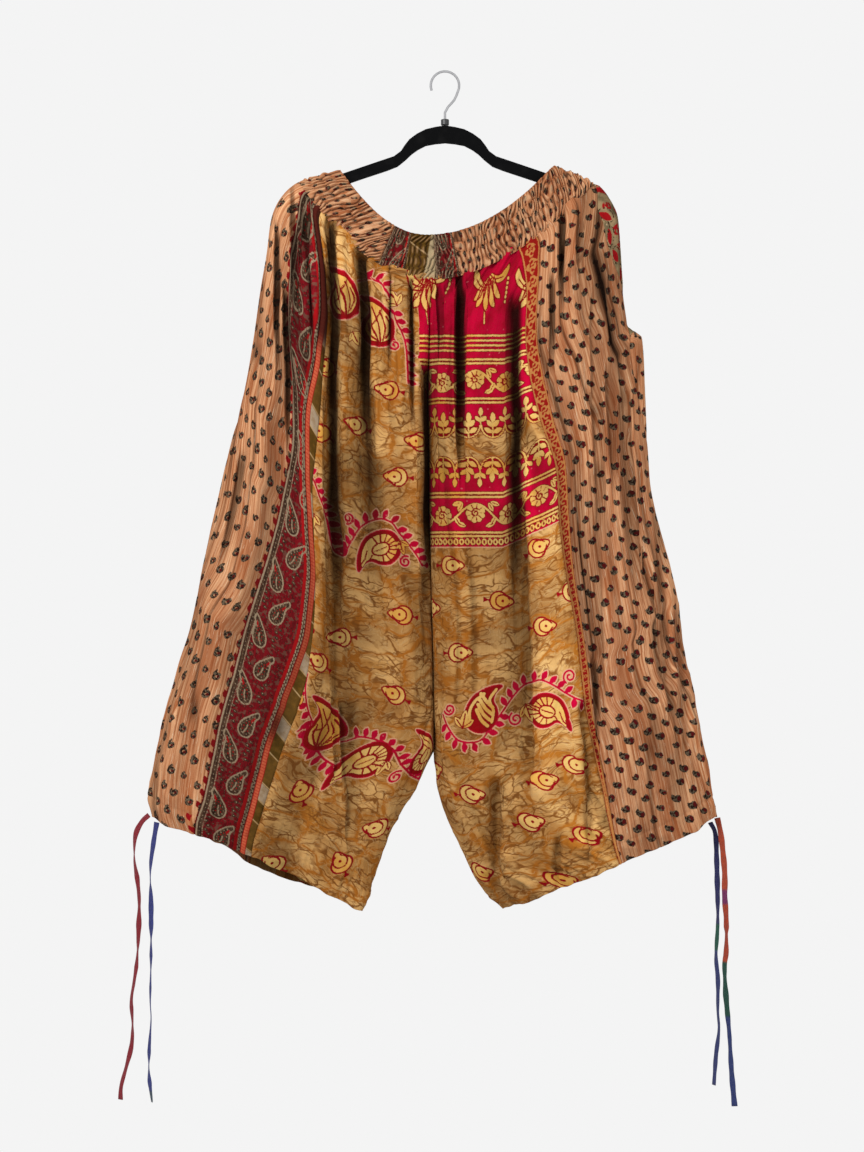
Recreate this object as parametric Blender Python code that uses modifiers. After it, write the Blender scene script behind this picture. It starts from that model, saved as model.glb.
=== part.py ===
"""Patchwork harem trousers, hung by their shirred waistband from a slim velvet hanger.

Run with: blender --background --python part.py
Units are metres. +Z is up, the front faces -Y, and the origin is the underside of the hook's
crest, where a rail carries the hanger. Left is -X, as seen from the front.

Each leg is a flat tube of cloth. A place on it has two coordinates. "across" runs from 0 at the
outer fold to 1 at the centre seam (or, under the crotch, at the inner fold), and is positive on
the front and negative on the back. "down" is 0 at the waistband's lower edge and 1 at the hem.
"""

import collections
import math

import bmesh
import bpy
import numpy as np

# ---- driving dimensions -------------------------------------------------------------------
CLOTH_WALL = 0.0015
BAND_WALL = 0.0026
SEAM_GAP = 0.0003
BAND_TOP = -0.07         # "down" value of the waistband's top edge
CROTCH = 0.727           # "down" value of the crotch
PROBE_ACROSS = 0.022     # steps for surface slopes, about half the spacing of the points
PROBE_DOWN = 0.010

TAPE_THICK = 0.0036
HANGER_THICK = 0.0060
HOOK_WIRE = 0.0034
HOOK_RADIUS = 0.0192     # of the wire's centre line
ARCH_TOP = -0.0715       # height of the hanger's arch, under the hook's crest
COLLAR_RADIUS, COLLAR_HEIGHT = 0.0055, 0.0080

# ---- the cut of each leg: one row per section ---------------------------------------------------
# Each row gives the outer and inner ends of a line of cloth round the leg, how far the front and
# back of that line sag, and where the seams cross it, as "across" values.
LeftSection = collections.namedtuple(
    "LeftSection",
    "down outer_x outer_z inner_x inner_z front_sag back_sag side_seam border trim inner",
)
LEFT_SECTIONS = [
    LeftSection(-0.070, -0.142, -0.131, -0.015, -0.221, 0.026, 0.029, 0.000, 0.050, 0.130, 0.170),
    LeftSection(0.000, -0.198, -0.148, -0.012, -0.281, 0.035, 0.035, 0.000, 0.050, 0.130, 0.170),
    LeftSection(0.035, -0.221, -0.169, -0.020, -0.309, 0.038, 0.038, 0.000, 0.115, 0.245, 0.285),
    LeftSection(0.070, -0.233, -0.197, -0.021, -0.340, 0.042, 0.042, 0.000, 0.135, 0.310, 0.350),
    LeftSection(0.120, -0.239, -0.242, -0.022, -0.383, 0.046, 0.046, 0.000, 0.140, 0.335, 0.380),
    LeftSection(0.180, -0.248, -0.293, -0.023, -0.436, 0.050, 0.050, 0.000, 0.170, 0.335, 0.385),
    LeftSection(0.260, -0.258, -0.363, -0.022, -0.505, 0.054, 0.054, 0.000, 0.230, 0.310, 0.385),
    LeftSection(0.340, -0.271, -0.433, -0.022, -0.575, 0.056, 0.056, 0.000, 0.265, 0.340, 0.385),
    LeftSection(0.420, -0.289, -0.502, -0.020, -0.644, 0.056, 0.056, 0.020, 0.262, 0.395, 0.425),
    LeftSection(0.500, -0.304, -0.571, -0.018, -0.714, 0.052, 0.052, 0.035, 0.245, 0.435, 0.460),
    LeftSection(0.580, -0.320, -0.640, -0.016, -0.784, 0.046, 0.046, 0.018, 0.222, 0.440, 0.475),
    LeftSection(0.660, -0.334, -0.710, -0.015, -0.853, 0.038, 0.038, 0.000, 0.200, 0.410, 0.470),
    LeftSection(0.727, -0.348, -0.767, -0.014, -0.911, 0.030, 0.030, 0.000, 0.195, 0.385, 0.452),
    LeftSection(0.790, -0.364, -0.821, -0.039, -0.961, 0.020, 0.022, 0.000, 0.205, 0.393, 0.460),
    LeftSection(0.860, -0.380, -0.881, -0.069, -1.013, 0.010, 0.014, 0.000, 0.228, 0.420, 0.480),
    LeftSection(0.930, -0.393, -0.942, -0.090, -1.070, 0.000, 0.008, 0.000, 0.238, 0.430, 0.484),
    LeftSection(0.975, -0.398, -0.981, -0.103, -1.106, -0.006, 0.004, 0.000, 0.225, 0.430, 0.482),
    LeftSection(1.000, -0.395, -1.003, -0.111, -1.127, -0.010, 0.002, 0.000, 0.215, 0.427, 0.480),
]
RightSection = collections.namedtuple(
    "RightSection",
    "down outer_x outer_z inner_x inner_z front_sag back_sag side_seam trim inner",
)
RIGHT_SECTIONS = [
    RightSection(-0.070, 0.148, -0.125, -0.015, -0.221, 0.022, 0.025, 0.000, 0.360, 0.480),
    RightSection(0.000, 0.201, -0.150, -0.012, -0.281, 0.028, 0.028, 0.000, 0.360, 0.480),
    RightSection(0.035, 0.224, -0.171, -0.020, -0.309, 0.032, 0.032, 0.075, 0.400, 0.485),
    RightSection(0.070, 0.235, -0.198, -0.021, -0.340, 0.038, 0.038, 0.079, 0.430, 0.495),
    RightSection(0.120, 0.237, -0.243, -0.022, -0.383, 0.044, 0.044, 0.043, 0.440, 0.505),
    RightSection(0.180, 0.240, -0.296, -0.023, -0.436, 0.050, 0.050, 0.000, 0.420, 0.485),
    RightSection(0.234, 0.246, -0.341, -0.022, -0.483, 0.054, 0.054, 0.000, 0.397, 0.460),
    RightSection(0.252, 0.2475, -0.358, -0.022, -0.498, 0.055, 0.055, 0.040, 0.388, 0.445),
    RightSection(0.340, 0.2565, -0.436, -0.022, -0.575, 0.058, 0.058, 0.023, 0.342, 0.389),
    RightSection(0.420, 0.2645, -0.504, -0.020, -0.644, 0.058, 0.058, 0.000, 0.348, 0.394),
    RightSection(0.500, 0.278, -0.574, -0.018, -0.714, 0.054, 0.054, 0.000, 0.360, 0.395),
    RightSection(0.580, 0.295, -0.642, -0.016, -0.784, 0.048, 0.048, 0.000, 0.365, 0.393),
    RightSection(0.660, 0.311, -0.710, -0.015, -0.853, 0.040, 0.040, 0.000, 0.370, 0.402),
    RightSection(0.727, 0.318, -0.768, -0.014, -0.911, 0.030, 0.030, 0.000, 0.372, 0.400),
    RightSection(0.790, 0.330, -0.822, -0.007, -0.967, 0.022, 0.022, 0.000, 0.378, 0.403),
    RightSection(0.860, 0.340, -0.883, 0.014, -1.025, 0.014, 0.014, 0.000, 0.390, 0.409),
    RightSection(0.930, 0.352, -0.943, 0.039, -1.080, 0.008, 0.008, 0.000, 0.412, 0.428),
    RightSection(0.975, 0.358, -0.983, 0.063, -1.111, 0.005, 0.005, 0.000, 0.432, 0.446),
    RightSection(1.000, 0.363, -1.003, 0.078, -1.126, 0.004, 0.004, 0.000, 0.445, 0.458),
]

# The back's border strip hangs out past the hip of the right leg, below a notch in the outer fold.
HipFlare = collections.namedtuple("HipFlare", "down reach")
HIP_FLARE = [
    HipFlare(0.000, 0.0), HipFlare(0.234, 0.0), HipFlare(0.252, 0.0175), HipFlare(0.340, 0.0125),
    HipFlare(0.420, 0.0075), HipFlare(0.500, 0.0), HipFlare(1.000, 0.0),
]
FLARE_SHARE = 0.2        # how far across the flare reaches

# How far front and back stand out from the plane of the hanger, how far in from the outer fold they
# reach that depth, and how much of it is left at the centre seam, in a valley of the given reach.
Depth = collections.namedtuple("Depth", "down front back outer_reach seam_share seam_reach")
DEPTHS = [
    Depth(-0.070, 0.013, 0.013, 0.024, 1.000, 0.020),
    Depth(0.000, 0.014, 0.014, 0.024, 1.000, 0.020),
    Depth(0.035, 0.023, 0.021, 0.028, 0.700, 0.020),
    Depth(0.070, 0.029, 0.026, 0.034, 0.450, 0.020),
    Depth(0.120, 0.034, 0.031, 0.042, 0.330, 0.020),
    Depth(0.200, 0.038, 0.035, 0.045, 0.300, 0.022),
    Depth(0.420, 0.043, 0.041, 0.045, 0.280, 0.022),
    Depth(0.600, 0.047, 0.045, 0.048, 0.220, 0.026),
    Depth(0.700, 0.049, 0.047, 0.050, 0.120, 0.030),
    Depth(0.727, 0.050, 0.048, 0.050, 0.060, 0.034),
    Depth(0.735, 0.050, 0.048, 0.050, 0.000, 0.036),
    Depth(0.790, 0.050, 0.048, 0.050, 0.000, 0.045),
    Depth(0.860, 0.048, 0.046, 0.050, 0.000, 0.050),
    Depth(0.950, 0.042, 0.041, 0.046, 0.000, 0.050),
    Depth(1.000, 0.036, 0.038, 0.040, 0.000, 0.045),
]

# Folds: valleys that start at "start" and fade out at "end", lying at top_x there and at end_x
# where they end. "share" is how much of the local depth the valley takes.
Fold = collections.namedtuple("Fold", "side top_x end_x start end share half_width")
FRONT, BACK = 1, -1
FOLDS = [
    Fold(FRONT, -0.224, -0.236, 0.03, 0.42, 0.22, 0.010),
    Fold(FRONT, -0.266, -0.306, 0.40, 0.68, 0.18, 0.011),
    Fold(FRONT, -0.158, -0.133, 0.00, 0.86, 0.44, 0.012),
    Fold(FRONT, -0.111, -0.108, 0.00, 0.34, 0.36, 0.011),
    Fold(FRONT, -0.096, -0.092, 0.20, 0.60, 0.30, 0.016),
    Fold(FRONT, -0.077, -0.074, 0.00, 0.22, 0.32, 0.011),
    Fold(FRONT, -0.043, -0.044, 0.00, 0.30, 0.34, 0.011),
    Fold(FRONT, 0.020, 0.018, 0.00, 0.32, 0.38, 0.011),
    Fold(FRONT, 0.102, 0.107, 0.02, 0.62, 0.38, 0.013),
    Fold(FRONT, 0.132, 0.134, 0.05, 0.20, 0.22, 0.010),
    Fold(FRONT, 0.159, 0.166, 0.00, 0.16, 0.28, 0.009),
    Fold(FRONT, 0.196, 0.200, 0.08, 0.56, 0.20, 0.015),
    Fold(FRONT, 0.205, 0.212, 0.42, 0.80, 0.22, 0.013),
    Fold(FRONT, 0.068, 0.070, 0.78, 1.02, 0.20, 0.012),
    Fold(BACK, -0.215, -0.250, 0.02, 0.50, 0.25, 0.014),
    Fold(BACK, -0.165, -0.190, 0.00, 0.80, 0.45, 0.014),
    Fold(BACK, -0.110, -0.118, 0.00, 0.40, 0.50, 0.013),
    Fold(BACK, -0.060, -0.072, 0.00, 0.66, 0.45, 0.013),
    Fold(BACK, 0.030, 0.036, 0.00, 0.44, 0.50, 0.013),
    Fold(BACK, 0.084, 0.100, 0.00, 0.78, 0.45, 0.014),
    Fold(BACK, 0.140, 0.160, 0.00, 0.52, 0.40, 0.014),
    Fold(BACK, 0.200, 0.245, 0.03, 0.70, 0.25, 0.014),
]

# The heights at which every panel has a line of points, and the waistband's own.
PANEL_ROWS = [
    0.0, 0.017, 0.035, 0.07, 0.12, 0.18, 0.234, 0.252, 0.32, 0.38, 0.44, 0.50, 0.56,
    0.62, 0.68, 0.727, 0.77, 0.82, 0.87, 0.92, 0.96, 1.0,
]
BAND_ROWS = [BAND_TOP, -0.035, 0.0]
SIDE_STEPS = [0.0, 0.07, 0.18, 0.32, 0.48, 0.64, 0.82, 1.0]
HIP_STEPS = [0.0, 0.2, 0.4, 0.56, 0.68, 0.76, 0.84, 0.9, 0.95, 1.0]

# ---- tapes: the route of each free end, from the slit in the hem channel to its tip ---------------
TapePoint = collections.namedtuple("TapePoint", "x y z")
LEFT_RED = [
    TapePoint(-0.3990, -0.002, -1.0010), TapePoint(-0.4090, -0.003, -1.0110),
    TapePoint(-0.4170, -0.004, -1.0290), TapePoint(-0.4185, -0.004, -1.0600),
    TapePoint(-0.4145, -0.003, -1.0890), TapePoint(-0.4120, -0.003, -1.1230),
    TapePoint(-0.4145, -0.004, -1.1910), TapePoint(-0.4185, -0.005, -1.2240),
    TapePoint(-0.4225, -0.004, -1.2510), TapePoint(-0.4210, -0.003, -1.2850),
    TapePoint(-0.4225, -0.003, -1.3120), TapePoint(-0.4290, -0.004, -1.3390),
    TapePoint(-0.4360, -0.005, -1.3660), TapePoint(-0.4370, -0.005, -1.3840),
]
LEFT_BLUE = [
    TapePoint(-0.3890, 0.002, -1.0115), TapePoint(-0.3940, 0.003, -1.0420),
    TapePoint(-0.3980, 0.004, -1.0760), TapePoint(-0.3970, 0.004, -1.1230),
    TapePoint(-0.3970, 0.003, -1.1970), TapePoint(-0.3980, 0.003, -1.2510),
    TapePoint(-0.3970, 0.004, -1.2780), TapePoint(-0.3995, 0.004, -1.3190),
    TapePoint(-0.3995, 0.003, -1.3530), TapePoint(-0.3955, 0.002, -1.3890),
]
RIGHT_NAVY = [
    TapePoint(0.3580, 0.002, -1.0115), TapePoint(0.3650, 0.003, -1.0270),
    TapePoint(0.3670, 0.004, -1.0620), TapePoint(0.3685, 0.004, -1.1430),
    TapePoint(0.3660, 0.003, -1.1910), TapePoint(0.3685, 0.003, -1.2240),
    TapePoint(0.3685, 0.004, -1.2650), TapePoint(0.3700, 0.004, -1.2920),
    TapePoint(0.3660, 0.003, -1.3260), TapePoint(0.3630, 0.002, -1.3660),
]
RIGHT_ORANGE = [
    TapePoint(0.3670, -0.002, -1.0050), TapePoint(0.3720, -0.003, -1.0290),
    TapePoint(0.3766, -0.004, -1.0760), TapePoint(0.3768, -0.004, -1.1100),
    TapePoint(0.3790, -0.003, -1.1430), TapePoint(0.3790, -0.003, -1.1840),
    TapePoint(0.3766, -0.004, -1.2040), TapePoint(0.3780, -0.004, -1.2380),
    TapePoint(0.3810, -0.003, -1.2720), TapePoint(0.3834, -0.003, -1.2990),
    TapePoint(0.3860, -0.004, -1.3460), TapePoint(0.3900, -0.005, -1.3930),
]

# ---- hanger outline, right half: along the top from the middle out, then back underneath ------------
OutlinePoint = collections.namedtuple("OutlinePoint", "x z")
HANGER_TOP = [
    OutlinePoint(0.0000, ARCH_TOP), OutlinePoint(0.0260, -0.0765), OutlinePoint(0.0480, -0.0900),
    OutlinePoint(0.0595, -0.1060), OutlinePoint(0.0690, -0.1130), OutlinePoint(0.0860, -0.1187),
    OutlinePoint(0.1400, -0.1371), OutlinePoint(0.1910, -0.1552), OutlinePoint(0.2000, -0.1610),
    OutlinePoint(0.2040, -0.1680),
]
HANGER_UNDER = [
    OutlinePoint(0.2020, -0.1735), OutlinePoint(0.1960, -0.1745), OutlinePoint(0.1880, -0.1720),
    OutlinePoint(0.1300, -0.1500), OutlinePoint(0.0780, -0.1325), OutlinePoint(0.0640, -0.1270),
    OutlinePoint(0.0540, -0.1190), OutlinePoint(0.0450, -0.1105), OutlinePoint(0.0260, -0.0990),
    OutlinePoint(0.0000, -0.0953),
]

# ---- colours: red, green, blue, and roughness ------------------------------------------------------
DOTTED_PEACH = (0.52, 0.27, 0.16, 0.85)
PAISLEY_MAROON = (0.20, 0.03, 0.03, 0.80)
OLIVE_CREAM = (0.42, 0.30, 0.13, 0.80)
GOLD_BATIK = (0.47, 0.29, 0.13, 0.75)
ORNATE_RED = (0.45, 0.07, 0.04, 0.80)
TAPE_RED = (0.36, 0.02, 0.03, 0.70)
TAPE_BLUE = (0.04, 0.07, 0.30, 0.60)
TAPE_NAVY = (0.02, 0.02, 0.14, 0.60)
TAPE_ORANGE = (0.50, 0.09, 0.02, 0.70)
VELVET_BLACK = (0.008, 0.008, 0.009, 0.95)
COLLAR_BLACK = (0.012, 0.012, 0.012, 0.45)
HOOK_STEEL = (0.62, 0.62, 0.63, 0.28)


def clear_scene():
    for obj in list(bpy.data.objects):
        bpy.data.objects.remove(obj, do_unlink=True)


def material(name, colour, metallic=0.0):
    made = bpy.data.materials.new(name)
    made.use_nodes = True
    shader = made.node_tree.nodes["Principled BSDF"]
    shader.inputs["Base Color"].default_value = (*colour[:3], 1.0)
    shader.inputs["Roughness"].default_value = colour[3]
    shader.inputs["Metallic"].default_value = metallic
    return made


# ---- the garment's surface ---------------------------------------------------------------------------
def column(table, name, down):
    """A named column of a table at the given "down" values, as a smooth curve with no overshoot."""
    knots = np.array([row.down for row in table])
    values = np.array([getattr(row, name) for row in table])
    steps = np.diff(knots)
    slopes = np.diff(values) / steps
    tangents = np.empty(len(knots))
    tangents[0], tangents[-1] = slopes[0], slopes[-1]
    both = slopes[:-1] * slopes[1:]
    total = np.where(both > 0, slopes[:-1] + slopes[1:], 1.0)
    tangents[1:-1] = np.where(both > 0, 2 * both / total, 0.0)
    at = np.clip(np.searchsorted(knots, down, side="right") - 1, 0, len(knots) - 2)
    part = np.clip((down - knots[at]) / steps[at], 0.0, 1.0)
    rise = part * part * (3 - 2 * part)
    return (
        values[at] * (1 - rise) + values[at + 1] * rise
        + steps[at] * tangents[at] * part * (1 - part) ** 2
        - steps[at] * tangents[at + 1] * part * part * (1 - part)
    )


def inner_end(table, name, down):
    """The same, with a corner at the crotch, so that both legs share the centre seam above it."""
    above = [row for row in table if row.down <= CROTCH]
    below = [row for row in table if row.down >= CROTCH]
    return np.where(down <= CROTCH, column(above, name, down), column(below, name, down))


def rounded(distance, reach):
    """0 at an edge, rising like a quarter circle to 1 at the given reach."""
    left = 1 - np.clip(distance / reach, 0.0, 1.0)
    return np.sqrt(1 - left * left)


def fold_share(front, x, down):
    """The share of the local depth that the folds take away."""
    kept = np.ones_like(x)
    for fold in FOLDS:
        part = (down - fold.start) / (fold.end - fold.start)
        inside = np.clip(part, 0.0, 1.0)
        begins = np.clip((down - fold.start) / 0.05, 0.0, 1.0)
        fades = np.clip((1 - part) / 0.45, 0.0, 1.0)
        strength = begins * fades * fades * (3 - 2 * fades) * (front == (fold.side == FRONT))
        off = (x - fold.top_x - (fold.end_x - fold.top_x) * inside) / fold.half_width
        kept *= 1 - fold.share * strength * np.exp(-off * off)
    return 1 - kept


def leg_point(left, across, down):
    """Points of one leg's outer surface. All three arguments are arrays of one shape."""
    x_and_z = []
    front = across >= 0
    share = np.abs(across)
    for table in (LEFT_SECTIONS, RIGHT_SECTIONS):
        outer_x, inner_x = column(table, "outer_x", down), inner_end(table, "inner_x", down)
        outer_z, inner_z = column(table, "outer_z", down), inner_end(table, "inner_z", down)
        sag = np.where(front, column(table, "front_sag", down), column(table, "back_sag", down))
        x = outer_x + share * (inner_x - outer_x)
        if table is RIGHT_SECTIONS:
            x = x + column(HIP_FLARE, "reach", down) * np.clip(1 - share / FLARE_SHARE, 0, 1) ** 2
        z = outer_z + share * (inner_z - outer_z) - sag * 4 * share * (1 - share)
        x_and_z.append((x, z, np.abs(inner_x - outer_x)))
    x, z, width = (np.where(left, a, b) for a, b in zip(*x_and_z))
    depth = np.where(front, column(DEPTHS, "front", down), column(DEPTHS, "back", down))
    seam = column(DEPTHS, "seam_share", down)
    reach = column(DEPTHS, "seam_reach", down)
    seam = np.where(down > CROTCH + 0.004, 0.0, seam)
    depth = depth * rounded(share * width, column(DEPTHS, "outer_reach", down))
    depth = depth * (seam + (1 - seam) * rounded((1 - share) * width, reach))
    depth = depth * (1 - fold_share(front, x, down))
    return np.stack([x, np.where(front, -depth, depth), z], axis=-1)


def surface(left, across, down):
    """leg_point, carried on past the centre seam to the other leg and past the inner fold to the back."""
    past = np.abs(across) > 1
    inner = np.sign(across) * (2 - np.abs(across))
    above = down <= CROTCH + 1e-6
    across = np.where(past, np.where(above, inner, -inner), across)
    return leg_point(np.where(past & above, ~left, left), across, down)


def wall_points(is_left, across, down):
    """Outer points and outward directions for arrays of places on one leg."""
    left = np.full(across.shape, is_left)
    in_torso = down <= CROTCH
    lower = np.where(in_torso, np.minimum(down + PROBE_DOWN, CROTCH), np.minimum(down + PROBE_DOWN, 1))
    upper = np.where(in_torso, down - PROBE_DOWN, np.maximum(down - PROBE_DOWN, CROTCH + 0.005))
    upper = np.maximum(upper, BAND_TOP)
    side = np.sign(np.where(across == 0, 1.0, across))
    step = PROBE_ACROSS * side
    around = surface(left, across + step, down) - surface(left, across - step, down)
    along = surface(left, across, lower) - surface(left, across, upper)
    out = np.cross(around, along) * side[..., None]
    out *= 1.0 if not is_left else -1.0
    out /= np.linalg.norm(out, axis=-1, keepdims=True)
    return surface(left, across, down), out


def pulled_in(points):
    """The grid with its four edges moved in by half a seam gap."""
    moved = points.copy()
    for axis in (0, 1):
        grid = np.moveaxis(moved, axis, 0)
        for edge, inside in ((0, 1), (-1, -2)):
            way = grid[inside] - grid[edge]
            grid[edge] += way / np.linalg.norm(way, axis=-1, keepdims=True) * SEAM_GAP / 2
    return moved


def cloth_wall(name, points, out, wall, cloth, collection):
    """A closed wall of cloth: an outer grid, the same grid moved in by the wall, and a rim."""
    outer = pulled_in(points)
    inner = outer - out * wall
    rows, columns = outer.shape[:2]
    build = bmesh.new()
    grids = []
    for grid in (outer, inner):
        grids.append([[build.verts.new(point) for point in row] for row in grid])
    for grid in grids:
        for r in range(rows - 1):
            for c in range(columns - 1):
                build.faces.new((grid[r][c], grid[r][c + 1], grid[r + 1][c + 1]))
                build.faces.new((grid[r][c], grid[r + 1][c + 1], grid[r + 1][c]))
    rim = [((r, c), (r, c + 1)) for r in (0, rows - 1) for c in range(columns - 1)]
    rim += [((r, c), (r + 1, c)) for c in (0, columns - 1) for r in range(rows - 1)]
    for (r0, c0), (r1, c1) in rim:
        build.faces.new((grids[0][r0][c0], grids[1][r0][c0], grids[1][r1][c1]))
        build.faces.new((grids[0][r0][c0], grids[1][r1][c1], grids[0][r1][c1]))
    bmesh.ops.recalc_face_normals(build, faces=build.faces)
    mesh = bpy.data.meshes.new(name)
    build.to_mesh(mesh)
    build.free()
    mesh.materials.append(cloth)
    obj = bpy.data.objects.new(name, mesh)
    collection.objects.link(obj)
    return obj


def even_steps(count):
    return [i / count for i in range(count + 1)]


def seam(table, name):
    return lambda down: column(table, name, down)


def at(value):
    return lambda down: np.full(down.shape, value)


# ---- panels: name, is it the left leg, its two seams, and the steps between them -------------------
BACK_BORDER_EDGE = -0.24     # "across" of the right back's paisley seam
BACK_SIDE_EDGE = -0.45       # and of each back's side seam
INNER_STEPS = even_steps(14)
BACK_STEPS = even_steps(9)
Panel = collections.namedtuple("Panel", "name is_left first last steps")
FRONT_PANELS = [
    Panel("left_side_front", True, seam(LEFT_SECTIONS, "side_seam"), seam(LEFT_SECTIONS, "border"),
          SIDE_STEPS),
    Panel("left_border_front", True, seam(LEFT_SECTIONS, "border"), seam(LEFT_SECTIONS, "trim"),
          even_steps(4)),
    Panel("left_trim_front", True, seam(LEFT_SECTIONS, "trim"), seam(LEFT_SECTIONS, "inner"),
          even_steps(2)),
    Panel("left_inner_front", True, seam(LEFT_SECTIONS, "inner"), at(1.0), INNER_STEPS),
    Panel("right_inner_front", False, at(1.0), seam(RIGHT_SECTIONS, "inner"), INNER_STEPS),
    Panel("right_trim_front", False, seam(RIGHT_SECTIONS, "inner"), seam(RIGHT_SECTIONS, "trim"),
          even_steps(2)),
    Panel("right_side_front", False, seam(RIGHT_SECTIONS, "trim"), seam(RIGHT_SECTIONS, "side_seam"),
          [1 - step for step in reversed(SIDE_STEPS)]),
]
BACK_PANELS = [
    Panel("left_side_back", True, seam(LEFT_SECTIONS, "side_seam"), at(BACK_SIDE_EDGE),
          [1 - step for step in reversed(HIP_STEPS)]),
    Panel("left_inner_back", True, at(BACK_SIDE_EDGE), at(-1.0), BACK_STEPS),
    Panel("right_inner_back", False, at(-1.0), at(BACK_SIDE_EDGE), BACK_STEPS),
    Panel("right_side_back", False, at(BACK_SIDE_EDGE), at(BACK_BORDER_EDGE), even_steps(3)),
    Panel("right_border_back", False, at(BACK_BORDER_EDGE), seam(RIGHT_SECTIONS, "side_seam"),
          HIP_STEPS),
]
# The waistband's pieces: each ends this many of the panels' columns further on.
BandPiece = collections.namedtuple("BandPiece", "name columns")
FRONT_BAND = [
    BandPiece("waistband_front_left", 20),
    BandPiece("waistband_patch_left", 3),
    BandPiece("waistband_patch_middle", 4),
    BandPiece("waistband_patch_right", 4),
    BandPiece("waistband_front_right", 19),
]


def leg_panels(cloths, collection):
    down = np.array(PANEL_ROWS)
    for piece in FRONT_PANELS + BACK_PANELS:
        first, last = piece.first(down), piece.last(down)
        across = first[:, None] + (last - first)[:, None] * np.array(piece.steps)[None, :]
        points, out = wall_points(piece.is_left, across, np.repeat(down[:, None], len(piece.steps), 1))
        cloth_wall(piece.name, points, out, CLOTH_WALL, cloths[piece.name], collection)


def band_columns(panels):
    """Points and outward directions of the waistband over the tops of these panels, ridge to ridge."""
    top = np.zeros(1)
    points, outs = [], []
    for piece in panels:
        first, last = piece.first(top), piece.last(top)
        across = first + (last - first) * np.array(piece.steps)
        grid = np.repeat(across[None, :], len(BAND_ROWS), axis=0)
        down = np.repeat(np.array(BAND_ROWS)[:, None], len(across), axis=1)
        found, out = wall_points(piece.is_left, grid, down)
        start = 1 if points else 0
        points.append(found[:, start:])
        outs.append(out[:, start:])
    return np.concatenate(points, axis=1), np.concatenate(outs, axis=1)


def waistband(cloths, collection):
    points, outs = band_columns(FRONT_PANELS)
    first = 0
    for piece in FRONT_BAND:
        last = first + piece.columns
        part = slice(first, last + 1)
        cloth_wall(piece.name, points[:, part], outs[:, part], BAND_WALL, cloths[piece.name], collection)
        first = last
    points, outs = band_columns(BACK_PANELS)
    cloth_wall("waistband_back", points, outs, BAND_WALL, cloths["waistband_back"], collection)


# ---- tapes, hanger and hook ------------------------------------------------------------------------
def smooth_route(points, spacing):
    """Points about this far apart on a smooth curve through the given ones."""
    knots = [np.array(point) for point in points]
    knots = [2 * knots[0] - knots[1], *knots, 2 * knots[-1] - knots[-2]]
    route = []
    for a, b, c, d in zip(knots, knots[1:], knots[2:], knots[3:]):
        count = max(1, round(float(np.linalg.norm(c - b)) / spacing))
        for i in range(count):
            t = i / count
            route.append(
                0.5 * (2 * b + (c - a) * t + (2 * a - 5 * b + 4 * c - d) * t**2
                       + (3 * b - a - 3 * c + d) * t**3)
            )
    route.append(knots[-2])
    return route


def tube(name, route, diameter, resolution, finish, collection):
    curve = bpy.data.curves.new(name, "CURVE")
    curve.dimensions = "3D"
    curve.bevel_depth = diameter / 2
    curve.bevel_resolution = resolution
    curve.use_fill_caps = True
    spline = curve.splines.new("POLY")
    spline.points.add(len(route) - 1)
    for point, place in zip(spline.points, route):
        point.co = (*place, 1.0)
    curve.materials.append(finish)
    obj = bpy.data.objects.new(name, curve)
    collection.objects.link(obj)
    return obj


def ties(collection):
    for name, route, colour in (
        ("left_tie_red", LEFT_RED, TAPE_RED),
        ("left_tie_blue", LEFT_BLUE, TAPE_BLUE),
        ("right_tie_navy", RIGHT_NAVY, TAPE_NAVY),
        ("right_tie_orange", RIGHT_ORANGE, TAPE_ORANGE),
    ):
        route = smooth_route(route, 3 * TAPE_THICK)
        tube(name, route, TAPE_THICK, 2, material(name, colour), collection)


def hanger_body(collection):
    """The flat bar: one closed outline with rounded edges, standing in the XZ plane."""
    edge = 0.0012
    half = smooth_route([(p.x, p.z) for p in HANGER_TOP + HANGER_UNDER], 0.012)
    outline = half + [np.array((-x, z)) for x, z in reversed(half[1:-1])]
    curve = bpy.data.curves.new("hanger_body", "CURVE")
    curve.dimensions = "2D"
    curve.fill_mode = "BOTH"
    curve.extrude = HANGER_THICK / 2 - edge
    curve.bevel_depth = edge
    curve.bevel_resolution = 1
    curve.offset = -edge
    spline = curve.splines.new("POLY")
    spline.points.add(len(outline) - 1)
    for point, (x, z) in zip(spline.points, outline):
        point.co = (x, z, 0.0, 1.0)
    spline.use_cyclic_u = True
    curve.materials.append(material("hanger_velvet", VELVET_BLACK))
    obj = bpy.data.objects.new("hanger_body", curve)
    obj.rotation_euler.x = math.radians(90)
    collection.objects.link(obj)


def hanger_collar(collection):
    bpy.ops.mesh.primitive_cylinder_add(
        vertices=24, radius=COLLAR_RADIUS, depth=COLLAR_HEIGHT,
        location=(0, 0, ARCH_TOP + SEAM_GAP + COLLAR_HEIGHT / 2),
    )
    collar = bpy.context.object
    collar.name = "hanger_collar"
    for home in list(collar.users_collection):
        home.objects.unlink(collar)
    collection.objects.link(collar)
    rounding = collar.modifiers.new("rounded rims", "BEVEL")
    rounding.width = 0.001
    rounding.segments = 2
    collar.data.materials.append(material("hanger_collar", COLLAR_BLACK))


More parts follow.
